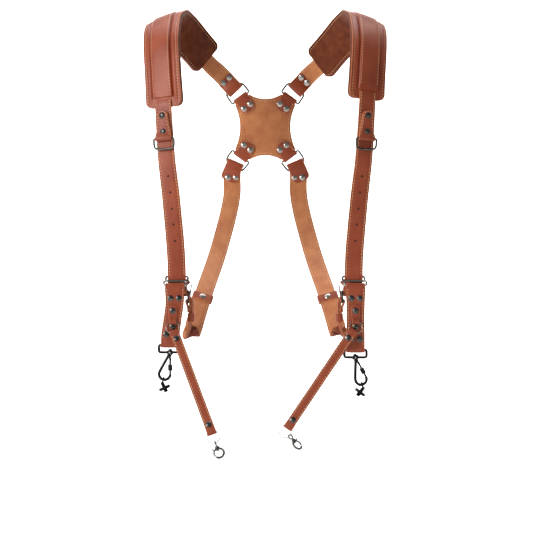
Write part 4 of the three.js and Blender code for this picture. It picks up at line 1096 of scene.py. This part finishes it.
def build_d_tab(side):
    """Tab that is folded round the D-ring and riveted through the chest strap."""
    back_lift = OUTSIDE_HEIGHT + STRAP_THICK / 2 + GAP + TAB_THICK / 2
    radius = D_RING_WIRE + GAP + TAB_THICK / 2
    front_lift = back_lift + TAB_THICK + GAP

    def station(s, lift):
        share = min(max(-s / D_TAB_LENGTH, 0), 1)
        half = (D_TAB_WIDTH + (D_TAB_TOP_WIDTH - D_TAB_WIDTH) * min(1, 1.6 * share)) / 2
        return shoulder.station(d_bar_at + s, lift, half)

    rows = [station(s, back_lift) for s in (-D_TAB_LENGTH, -28, -20, -12, -6)]
    folding = [(s, h) for s, h in fold(radius, TAB_THICK, D_TAB_LENGTH - 8)][:11]
    rows += [station(s, back_lift + h) for s, h in folding]
    rows += [station(s, front_lift) for s in (-18, -24, -30, -D_TAB_LENGTH)]
    stations = smooth(rows, 1.6, (7.5, 7.5))
    leather(stations, TAB_THICK, inner=GRAIN, outer=FLESH).piece(
        "chest_tab", side, "d_ring_tab", slot="grain_leather")
    high = TAB_THICK / 2
    left, right = seam_lines(stations, -high, D_TAB_SEAM)
    front = len(left) * 45 // 100
    sew("chest_tab_stitches", side, [left[-front:] + right[-front:][::-1]])
    rivets = []
    for share in D_TAB_RIVETS:
        p, _, normal, _ = shoulder.frame(d_bar_at - share * D_TAB_LENGTH, back_lift)
        rivets.append(rivet(p, normal, 1.5 * TAB_THICK + GAP, high + 2 * GAP + STRAP_THICK))
    joined(rivets).piece("chest_tab_rivets", side, slot="gunmetal")
    p, w, _, tangent = shoulder.frame(d_bar_at, back_lift + radius)
    wire_bow(D_RING_HALF, D_RING_REACH, D_RING_WIRE).moved(basis(w, tangent, p)).piece(
        "chest_ring", side, "d_ring", body="d_ring", slot="gunmetal")


# Keepers, buckle and slider


def keeper_band(station_p, w, tangent, low, high, name, node, side, cap=False):
    """Leather band round a strap or a bundle of them."""
    half = STRAP_WIDTH / 2 + GAP + KEEPER_THICK / 2
    depth = high - low + 2 * GAP + KEEPER_THICK
    middle = (high + low) / 2
    matrix = basis(w, -tangent, station_p) @ move(0, -middle, 0)
    loop = rounded_loop(half, depth, 1.6, 5)
    rows = []
    for p in loop[12:] + loop[:13]:
        flat = Vector((p.x, p.z + depth / 2, 0))
        rows.append(Station(matrix @ flat, matrix.to_3x3() @ UP, KEEPER_HEIGHT / 2))
    centre = matrix @ Vector((0, 0, 0))
    probe = frames(rows)[3][1]
    if (rows[3].p + probe - centre).length < (rows[3].p - centre).length:
        rows.reverse()
    leather(rows, KEEPER_THICK, seam=0).piece(name, side, node, slot="grain_leather")
    if cap:
        top = high + GAP + KEEPER_THICK
        rivet(station_p, tangent.cross(w).normalized(), top, top, NICKEL).piece(
            "keeper_rivet", side, slot="gunmetal")


def build_keepers(side):
    reach = KEEPER_HEIGHT / 2 + 3
    start = lower.frame(keeper_at - reach)
    stop = lower.frame(keeper_at + reach)
    tangent = (stop[0] - start[0]).normalized()
    w = start[1] + stop[1]
    w = (w - tangent * w.dot(tangent)).normalized()
    middle = (start[0] + stop[0]) / 2
    half = STRAP_THICK / 2
    keeper_band(middle, w, tangent, -half, half, "loop_riveted", "keeper_riveted", side, cap=True)
    keeper_band(Vector((MAIN_X, HEEL.y, PLAIN_KEEPER_Z)), -THROUGH, UP, -half - STRAP_THICK - GAP,
                half, "loop_plain", "keeper_plain", side)


def build_buckle(side):
    """Plain bar buckle with its prong, edge-on behind the hanger."""
    lean = math.degrees(math.atan2(BUCKLE_TOP.x - HEEL.x, BUCKLE_LENGTH))
    loop = wire_loop(BUCKLE_HALF, BUCKLE_LENGTH, LOOP_CORNER, BUCKLE_WIRE)
    matrix = Matrix.Translation(BUCKLE_TOP) @ turn(lean, "Y") @ turn(90, "Z")
    loop.moved(matrix).piece("buckle", side, "buckle_frame", slot="gunmetal")
    root = HEEL + Vector((-1.5, 0, 1.5))
    rest = BUCKLE_TOP + Vector((-BUCKLE_WIRE - GAP - 1, 0, 0))
    tip = rest + Vector((-0.8, 0, 8.5))
    line = [root.lerp(rest, i / 6) for i in range(6)] + [rest.lerp(tip, i / 6) for i in range(7)]
    prong = tube(line, 1.0, THROUGH, look=NICKEL)
    eye = turned([(2.65, -1.9), (2.75, -1.6), (2.75, 1.6), (2.65, 1.9)], NICKEL)
    prong.add(eye, Matrix.Translation(HEEL) @ turn(90, "X"))
    prong.piece("prong", side, "buckle_prong", slot="gunmetal")


FRONT_BAR_Y = slider_point.y - STRAP_THICK / 2 - GAP - SLIDER_WIRE
REAR_BAR_Y = slider_point.y + STRAP_THICK / 2 + 2 * GAP + SLIDER_WIRE
HANGER_BAR = Vector((slider_point.x + HANGER_SHIFT, FRONT_BAR_Y - 2.6, slider_point.z - 6))


def build_slider(side):
    """Ring round the strap, with a second bar below it for the hanger."""
    run = REAR_BAR_Y - FRONT_BAR_Y
    loop = wire_loop(SLIDER_HALF, math.hypot(run, SLIDER_TILT), LOOP_CORNER, SLIDER_WIRE)
    matrix = move(slider_point.x, REAR_BAR_Y, slider_point.z + SLIDER_TILT)
    shape = loop.moved(matrix @ Matrix.Rotation(-math.atan2(run, SLIDER_TILT), 4, "X"))
    drop = Vector((0, HANGER_BAR.y - FRONT_BAR_Y, HANGER_BAR.z - slider_point.z))
    second = wire_loop(SLIDER_HALF, drop.length, LOOP_CORNER, SLIDER_WIRE, NICKEL)
    lean = Matrix.Rotation(-math.atan2(-drop.y, -drop.z), 4, "X")
    shape.add(second, move(HANGER_BAR.x, FRONT_BAR_Y, slider_point.z) @ lean)
    shape.piece("slider", side, "slider_ring", slot="gunmetal")


# Hanger with the anchor of its tether, each in its own frame

HANGER_FOLD = SLIDER_WIRE + GAP + HANGER_THICK / 2
FRAME_FOLD = FRAME_WIRE + GAP + HANGER_THICK / 2
ANCHOR_MIDDLE = ANCHOR_DROP + ANCHOR_LENGTH / 2
ANCHOR_RIVETS = (8.4, RING_SEAT + 7.2)
TETHER_HALF = TETHER_WIDTH / 2
TETHER_FOLD = SMALL_RING_WIRE + 2.2 * GAP + TETHER_THICK / 2
RING_DIP = SMALL_RING_RADIUS - math.sqrt(SMALL_RING_RADIUS**2 - TETHER_HALF**2)


def hanger_size(side):
    """Length of a hanger, and how far it leans to the side at a distance down it."""
    length = HANGER_LENGTH * side.hanger_share
    slope = math.tan(rad(side.hanger_lean))
    return length, lambda s: slope * min(max(s - 0.3 * length, 0), 0.7 * length - FRAME_DEPTH)


def anchor_place(side):
    """Matrix of the frame in which the anchor hangs."""
    _, shift = hanger_size(side)
    return Matrix.Translation(HANGER_BAR) @ move(shift(ANCHOR_MIDDLE))


def build_hanger(side):
    length, shift = hanger_size(side)
    hang = Matrix.Translation(HANGER_BAR)

    def station(s, h):
        share = min(max(s / length, 0), 1)
        ends = HANGER_WIDTH + (HANGER_FOOT - HANGER_WIDTH) * share
        half = (HANGER_WAIST + (ends - HANGER_WAIST) * (1 - math.sin(math.pi * share))) / 2
        if s < 3 * SLIDER_WIRE:
            half = SLIDER_HALF - SLIDER_WIRE - 2 * GAP
        return Station(Vector((shift(s), h - HANGER_FOLD, -s)), ACROSS, half)

    rows = [station(-s, h) for s, h in fold(HANGER_FOLD, HANGER_THICK, HANGER_TAIL)][::-1]
    rows += [station(share * length, 0) for share in (0.06, 0.2, 0.35, 0.5, 0.65, 0.8)]
    rows += [station(length + s, h) for s, h in fold(FRAME_FOLD, HANGER_THICK, HANGER_FOOT_TAIL)]
    stations = smooth(rows, 2.0, (END_CORNER, END_CORNER))
    leather(stations, HANGER_THICK).moved(hang).piece(
        "hanger_leather", side, "hanger", slot="grain_leather")
    high = HANGER_THICK / 2
    front = [s for s in stations if s.p.y < -HANGER_FOLD + 0.4 and -length + 3 < s.p.z < -4]
    sew("hanger_stitches", side, seam_lines(front, high), hang)
    pairs = [rivet_pair(Vector((shift(s), -HANGER_FOLD, -s)), ACROSS, -THROUGH, high,
                        1.5 * HANGER_THICK + GAP)
             for s in (HANGER_TOP_RIVETS, length - HANGER_FOOT_RIVETS)]
    joined(pairs, hang).piece("hanger_rivets", side, slot="gunmetal")


def build_anchor(side):
    """Narrow strip on the hanger, bowed out over the split ring between its two rivets."""
    flat = -HANGER_FOLD - HANGER_THICK / 2 - GAP - ANCHOR_THICK / 2
    lift = 2 * SMALL_RING_WIRE + 3 * GAP
    neck = ANCHOR_WIDTH / 2 - 1.4
    wide = ANCHOR_WIDTH / 2
    rows = [(0, 0, wide), (6, 0, wide), (12, 0, wide - 0.2), (RING_SEAT - 4.6, 0, wide - 0.5),
            (RING_SEAT - 1.4, 0.95, neck), (RING_SEAT + 0.4, 1, neck), (RING_SEAT + 2.1, 1, neck),
            (RING_SEAT + 4.6, 0, neck), (ANCHOR_LENGTH - 3, 0, neck), (ANCHOR_LENGTH, 0, neck)]
    stations = smooth([Station(Vector((0, flat - rise * lift, -ANCHOR_DROP - q)), ACROSS, half)
                       for q, rise, half in rows], 1.2, (wide - 0.5, neck - 0.3))
    anchor = anchor_place(side)
    leather(stations, ANCHOR_THICK, seam=0).moved(anchor).piece(
        "anchor_leather", side, "tether_anchor", slot="grain_leather")
    joined([rivet(Vector((0, flat, -ANCHOR_DROP - q)), -THROUGH, ANCHOR_THICK / 2)
            for q in ANCHOR_RIVETS], anchor).piece("anchor_rivets", side, slot="gunmetal")


# Swivel hook, in the frame of its boss, with the gate towards +X

BOSS_RADIUS = 4.6
BOSS_HEIGHT = 6
POST_RADIUS = 1.5
HOOK_WIRE = 2.1
HOOK_RADIUS = 7.6
HOOK_LENGTH = 25
GATE_WIRE = 1.45
SLEEVE_RADIUS = 3.2
SLEEVE_LENGTH = 8.6
TANGENT_ANGLE = 13
COLLAR = -(BOSS_HEIGHT / 2 + GAP)
BASKET = COLLAR - 2.2 - HOOK_LENGTH
GATE_TOP = Vector((2.35, 0, COLLAR - 5.6))
GATE_FOOT = polar(0, BASKET, HOOK_RADIUS, TANGENT_ANGLE)
SCREW_RING_HALF = 4.6
SCREW_RING_REACH = 8.6
SCREW_RING_WIRE = 1.1
SCREW_DISC = 8.4
SCREW_DISC_THICK = 3.2
SCREW_THREAD = 3.1
SCREW_THREAD_LENGTH = 5
SCREW_NECK = 4.8
SCREW_BAR = BASKET - HOOK_RADIUS + HOOK_WIRE + GAP + SCREW_RING_WIRE - SCREW_RING_REACH


def smooth_line(points, steps=8):
    """Points on a smooth curve through a few given ones."""
    route = Route([(p, UP) for p in points])
    count = steps * (len(points) - 1)
    return [route.point(i / count) for i in range(count + 1)]


def frame_place(side):
    """Matrix of the frame in the hanger's lower fold."""
    length, shift = hanger_size(side)
    return (Matrix.Translation(HANGER_BAR)
            @ move(shift(length), FRAME_FOLD - HANGER_FOLD, -length))


def hook_place(side):
    """Matrix of the swivel hook, in the boss of its frame."""
    boss = frame_place(side) @ move(0, 0, -FRAME_DEPTH)
    return boss @ turn(-side.hook_lean, "Y") @ turn(side.hook_turn, "Z")


def build_hook_frame(side):
    """Frame in the lower fold, with the boss that the hook turns in."""
    loop = wire_loop(FRAME_HALF, FRAME_DEPTH, FRAME_CORNER, FRAME_WIRE, BLACK)
    half = BOSS_HEIGHT / 2
    boss = turned([(BOSS_RADIUS * 0.7, -half), (BOSS_RADIUS * 0.85, 0.4 - half),
                   (BOSS_RADIUS, -half / 3), (BOSS_RADIUS, half / 3),
                   (BOSS_RADIUS * 0.85, half - 0.4), (BOSS_RADIUS * 0.7, half)], BLACK)
    pin = turned([(1.3, 0), (1.3, 0.35), (0.8, 0.7), (0, 0.8)], NICKEL, 16)
    loop.add(boss, move(0, 0, -FRAME_DEPTH) @ turn(-side.hook_lean, "Y"))
    loop.add(pin, move(0, -BOSS_RADIUS + 0.1, -FRAME_DEPTH) @ turn(90, "X"))
    loop.moved(frame_place(side)).piece("swivel_frame", side, "hook_frame", body="hook_frame",
                                        slot="black_metal")


def build_swivel_hook(side):
    """Hook with its gate and the knurled sleeve that locks it."""
    at = hook_place(side)
    head = BOSS_HEIGHT / 2 + GAP
    body = turned([(1.8, COLLAR - 2.6), (2.6, COLLAR - 2.2), (3.3, COLLAR - 1.4), (3.3, COLLAR),
                   (POST_RADIUS, COLLAR + 0.05), (POST_RADIUS, head), (2.9, head + 0.05),
                   (2.3, head + 1.5), (0, head + 1.6)], BLACK)
    spine = smooth_line([Vector((-0.9, 0, COLLAR - 1.2)), Vector((-1.7, 0, COLLAR - 4)),
                         *arc(0, BASKET, HOOK_RADIUS, 180 - TANGENT_ANGLE, 365, 12)], 4)
    body.add(tube(spine, HOOK_WIRE, THROUGH, look=BLACK))
    body.add(tube([Vector((0.6, 0, COLLAR - 1)), Vector((1.4, 0, (COLLAR + GATE_TOP.z) / 2)),
                   Vector((2.1, 0, GATE_TOP.z + 1))], GATE_WIRE, THROUGH, look=BLACK))
    body.moved(at).piece("swivel_hook", side, "hook_body", body="hook", slot="black_metal")

    run = (GATE_FOOT - GATE_TOP).normalized()
    gate = tube([GATE_TOP.lerp(GATE_FOOT, i / 8) for i in range(9)], GATE_WIRE, THROUGH, look=BLACK)
    gate.add(turned([(1.7, -1.9), (1.9, -1.7), (1.9, 1.7), (1.7, 1.9)], BLACK, 16),
             Matrix.Translation(GATE_TOP) @ turn(90, "X"))
    gate.moved(at).piece("swivel_gate", side, "hook_gate", body="gate", slot="black_metal")

    half = SLEEVE_LENGTH / 2
    ridges = [(SLEEVE_RADIUS - 0.8, -half), (SLEEVE_RADIUS - 0.1, 0.5 - half)]
    count = 7
    for i in range(count):
        z = -half + 1 + (SLEEVE_LENGTH - 2) * i / count
        ridges += [(SLEEVE_RADIUS, z), (SLEEVE_RADIUS, z + 0.5), (SLEEVE_RADIUS - 0.35, z + 0.65)]
    ridges += [(SLEEVE_RADIUS - 0.1, half - 0.5), (SLEEVE_RADIUS - 0.8, half)]
    middle = GATE_FOOT - run * (half + 4.8)
    turned(ridges, BLACK).moved(at @ aimed(middle, -run)).piece(
        "screw_sleeve", side, "hook_sleeve", body="sleeve", slot="black_metal")


def build_camera_screw(side):
    """Ring in the hook, and the base-plate screw that turns on it."""
    at = hook_place(side)
    ring = wire_bow(SCREW_RING_HALF, SCREW_RING_REACH, SCREW_RING_WIRE, BLACK)
    ring.moved(at @ basis(THROUGH, UP, Vector((0, 0, SCREW_BAR)))).piece(
        "screw_ring", side, "camera_ring", body="hook", slot="black_metal")

    way = 1 if side.hook_turn == 0 else -1
    hinge = at @ move(0, 0, SCREW_BAR) @ turn(way * (side.screw_tilt + side.hook_lean), "Y")
    foot = -SCREW_NECK - SCREW_DISC_THICK
    profile = [(SCREW_THREAD - 0.7, foot - SCREW_THREAD_LENGTH)]
    for i in range(6):
        z = foot - SCREW_THREAD_LENGTH + 0.5 + 0.62 * i
        profile += [(SCREW_THREAD, z), (SCREW_THREAD - 0.5, z + 0.3)]
    profile += [(SCREW_DISC - 0.9, foot - 1.2), (SCREW_DISC - 0.8, foot), (SCREW_DISC, foot + 0.4),
                (SCREW_DISC, -SCREW_NECK - 0.7), (SCREW_DISC - 0.7, -SCREW_NECK),
                (3.4, -SCREW_NECK)]
    disc = turned(profile, BLACK, 36)
    lug = SCREW_RING_HALF - 2 * SCREW_RING_WIRE - GAP
    top = SCREW_RING_WIRE + GAP + 1
    cheek = arc(0, 0, top, 0, 180, 12)
    cheek += [Vector((-top, 0, -SCREW_NECK - 0.3)), Vector((top, 0, -SCREW_NECK - 0.3))]
    edges = ((lug, 0.85), (lug - 0.3, 1), (0.3 - lug, 1), (-lug, 0.85))
    disc.grid([[Vector((v.x * k, y, v.z * k)) for v in cheek] for y, k in edges], [BLACK],
              ends=BLACK)
    disc.moved(hinge).piece("screw_disc", side, "camera_screw", body="camera_screw",
                            slot="black_metal")


# Tether with its rings and trigger snap

EYE_RADIUS = 3.1
EYE_WIRE = 0.95
SNAP_BARREL = 2.7
SNAP_BARREL_LENGTH = 4.6
SNAP_SHANK = 1.0
SNAP_RADIUS = 6.6
SNAP_WIRE = 1.45
# First and last angle of the snap's bow, of the stub at its hinge and of its lever
SNAP_BOW = (118, 315)
LEVER_STUB = (63, 70)
LEVER_BOW = (52, -23)
THUMB_ANGLE = 47
TETHER_SEAM = 1.9
TETHER_RIVET = 9
RING_TILT = 16.7


def small_ring():
    """Split ring: two turns of flat wire side by side."""
    shape = Shape()
    for shift in (-0.42, 0.42):
        points = arc(0, 0, SMALL_RING_RADIUS, 0, 360, 48)[:-1]
        coil = tube(points, SMALL_RING_WIRE * 0.62, THROUGH, closed=True, look=NICKEL, sides=10)
        shape.add(coil, move(0, shift, 0))
    return shape


def build_tether(side):
    anchor = anchor_place(side)
    depth = -HANGER_FOLD - HANGER_THICK / 2 - GAP - SMALL_RING_WIRE
    loop = anchor @ move(0, depth - SMALL_RING_RADIUS * math.sin(rad(RING_TILT)),
                         -ANCHOR_DROP - RING_SEAT - SMALL_RING_RADIUS * math.cos(rad(RING_TILT)))
    loop = loop @ turn(-RING_TILT, "X")
    small_ring().moved(loop).piece("ring_upper", side, "split_ring", slot="gunmetal")
    strip = loop @ turn(side.tether_swing, "Y") @ move(0, 0, -SMALL_RING_RADIUS)
    strip = strip @ turn(RING_TILT - side.tether_lean, "X")

    slack = RING_DIP + SMALL_RING_WIRE + GAP
    rows = [Station(Vector((0, h - TETHER_FOLD, s + RING_DIP)), ACROSS, TETHER_HALF)
            for s, h in fold(TETHER_FOLD, TETHER_THICK, TETHER_TAIL, slack)][::-1]
    foot = TETHER_LENGTH + RING_DIP
    rows += [Station(Vector((0, -TETHER_FOLD, -s)), ACROSS, TETHER_HALF)
             for s in spread(8, foot - 8, 20)]
    rows += [Station(Vector((0, h - TETHER_FOLD, -foot - s)), ACROSS, TETHER_HALF)
             for s, h in fold(TETHER_FOLD, TETHER_THICK, foot + RING_DIP - 21, slack)]
    stations = smooth(rows, 2.0, (4, 4))
    leather(stations, TETHER_THICK, seam=TETHER_SEAM).moved(strip).piece(
        "tether_leather", side, "tether", slot="grain_leather")
    high = TETHER_THICK / 2
    front = [s for s in stations if s.p.y < 0.3 - TETHER_FOLD and 3 < -s.p.z < TETHER_LENGTH - 3]
    sew("tether_stitches", side, seam_lines(front, high, TETHER_SEAM), strip)
    joined([rivet(Vector((0, -TETHER_FOLD, -s)), -THROUGH, high, 1.5 * TETHER_THICK + GAP)
            for s in (TETHER_RIVET, TETHER_LENGTH - TETHER_RIVET)], strip).piece(
        "tether_rivets", side, slot="gunmetal")

    end = strip @ move(0, 0, -TETHER_LENGTH - SMALL_RING_RADIUS)
    small_ring().moved(end).piece("ring_lower", side, "tether_ring", slot="gunmetal")
    build_snap(side, end)


def build_snap(side, end):
    """Trigger snap that hangs in the ring at the tether's end."""
    snap = end @ turn(side.snap_swing - side.tether_swing, "Y") @ turn(side.snap_turn, "Z")
    eye_drop = SMALL_RING_RADIUS + EYE_RADIUS - EYE_WIRE - SMALL_RING_WIRE - GAP
    barrel_top = -(eye_drop + EYE_RADIUS + EYE_WIRE + GAP)
    barrel_foot = barrel_top - SNAP_BARREL_LENGTH
    middle = barrel_foot - 5.2
    eye = tube(arc(0, 0, EYE_RADIUS, 0, 360, 32)[:-1], EYE_WIRE, THROUGH, closed=True)
    swivel = eye.moved(move(0, 0, -eye_drop) @ turn(90, "Z"))
    swivel.add(turned([(SNAP_SHANK + 0.9, barrel_foot - GAP - 1.2),
                       (SNAP_SHANK + 0.9, barrel_foot - GAP), (SNAP_SHANK, barrel_foot),
                       (SNAP_SHANK, -(eye_drop + EYE_RADIUS))]))
    swivel.moved(snap).piece("trigger_swivel", side, "snap_swivel", slot="black_metal")
    barrel = turned([(SNAP_BARREL + 0.6, barrel_foot), (SNAP_BARREL + 1, barrel_foot + 0.4),
                     (SNAP_BARREL + 1, barrel_foot + 1.6), (SNAP_BARREL, barrel_foot + 2),
                     (SNAP_BARREL, barrel_top - 0.4), (SNAP_BARREL - 0.5, barrel_top)])
    barrel.add(tube(arc(0, middle, SNAP_RADIUS, *SNAP_BOW, 24), SNAP_WIRE, THROUGH))
    barrel.add(tube(arc(0, middle, SNAP_RADIUS, *LEVER_STUB, 3), SNAP_WIRE * 0.8, THROUGH))
    barrel.moved(snap).piece("trigger_hook", side, "snap_hook", body="snap", slot="black_metal")
    lever = tube(arc(0, middle, SNAP_RADIUS, *LEVER_BOW, 12), SNAP_WIRE * 0.75, THROUGH)
    thumb = [polar(0, middle, SNAP_RADIUS + rise, THUMB_ANGLE) for rise in (0, 2, 4)]
    lever.add(tube(thumb, 0.8, THROUGH))
    lever.moved(snap).piece("trigger_lever", side, "snap_lever", body="lever", slot="black_metal")


build_plate()
for side in SIDES:
    build_shoulder_strap(side)
    build_lower_strap(side)
    build_pad(side)
    for up, name in ((1, "upper"), (-1, "lower")):
        build_tab(side, up, name)
    build_d_tab(side)
    build_keepers(side)
    build_buckle(side)
    build_slider(side)
    build_hanger(side)
    build_anchor(side)
    build_hook_frame(side)
    build_swivel_hook(side)
    build_camera_screw(side)
    build_tether(side)


# Studio in metres: pale floor that rises into a backdrop, soft lights and the camera

FLOOR_Z = -0.76
FLOOR_FRONT = -8.0
WALL_Y = 6.0
WALL_TOP = 6.5
BACKDROP_HALF = 9.0
BEND_RADIUS = 2.0

# Name, place, target, size and watts of each light
LIGHTS = [
    ("key", (-2.5, -2.0, 0.7), (0, 0, -0.3), (1.2, 1.2), 88),
    ("fill", (1.6, -2.8, 0.2), (0, 0, -0.3), (1.6, 1.6), 2.5),
    ("top", (0.2, 0.2, 2.4), (0, 0, -0.2), (1.6, 1.6), 14),
    ("floor", (0, 0.9, 2.8), (0, 2.4, 0.2), (5.0, 1.2), 150),
    ("wall", (0, 3.2, 2.2), (0, 6.0, 0.8), (9.0, 1.5), 420),
]
ROOM_LIGHT = 0.24
CAMERA_PLACE = (0.0018, -3.0, -0.3493)
CAMERA_LENS = 144.7
CAMERA_SENSOR = 36


def backdrop():
    profile = [(FLOOR_FRONT, FLOOR_Z)]
    for i in range(17):
        a = rad(90 * i / 16)
        profile.append((WALL_Y - BEND_RADIUS + BEND_RADIUS * math.sin(a),
                        FLOOR_Z + BEND_RADIUS - BEND_RADIUS * math.cos(a)))
    profile.append((WALL_Y, WALL_TOP))
    verts = [(x, y, z) for x in (-BACKDROP_HALF, BACKDROP_HALF) for y, z in profile]
    count = len(profile)
    faces = [(i, i + 1, count + i + 1, count + i) for i in range(count - 1)]
    mesh = bpy.data.meshes.new("backdrop")
    mesh.from_pydata(verts, [], faces)
    mesh.polygons.foreach_set("use_smooth", [True] * len(faces))
    mesh.materials.append(PAPER)
    made = bpy.data.objects.new("backdrop", mesh)
    bpy.context.scene.collection.objects.link(made)


def area_light(name, place, target, size, watts):
    light = bpy.data.lights.new(name, "AREA")
    light.shape = "RECTANGLE"
    light.size, light.size_y = size
    light.energy = watts
    made = bpy.data.objects.new(name, light)
    made.location = place
    made.rotation_euler = (Vector(target) - Vector(place)).to_track_quat("-Z", "Y").to_euler()
    bpy.context.scene.collection.objects.link(made)


backdrop()
for light in LIGHTS:
    area_light(*light)

world = bpy.data.worlds.new("studio")
bpy.context.scene.world = world
world.use_nodes = True
world.node_tree.nodes["Background"].inputs["Color"].default_value = (1, 1, 1, 1)
world.node_tree.nodes["Background"].inputs["Strength"].default_value = ROOM_LIGHT
bpy.context.scene.view_settings.view_transform = "Standard"

lens = bpy.data.cameras.new("camera")
lens.sensor_width = CAMERA_SENSOR
lens.lens = CAMERA_LENS
camera = bpy.data.objects.new("camera", lens)
camera.location = CAMERA_PLACE
camera.rotation_euler = (math.pi / 2, 0, 0)
bpy.context.scene.collection.objects.link(camera)
bpy.context.scene.camera = camera
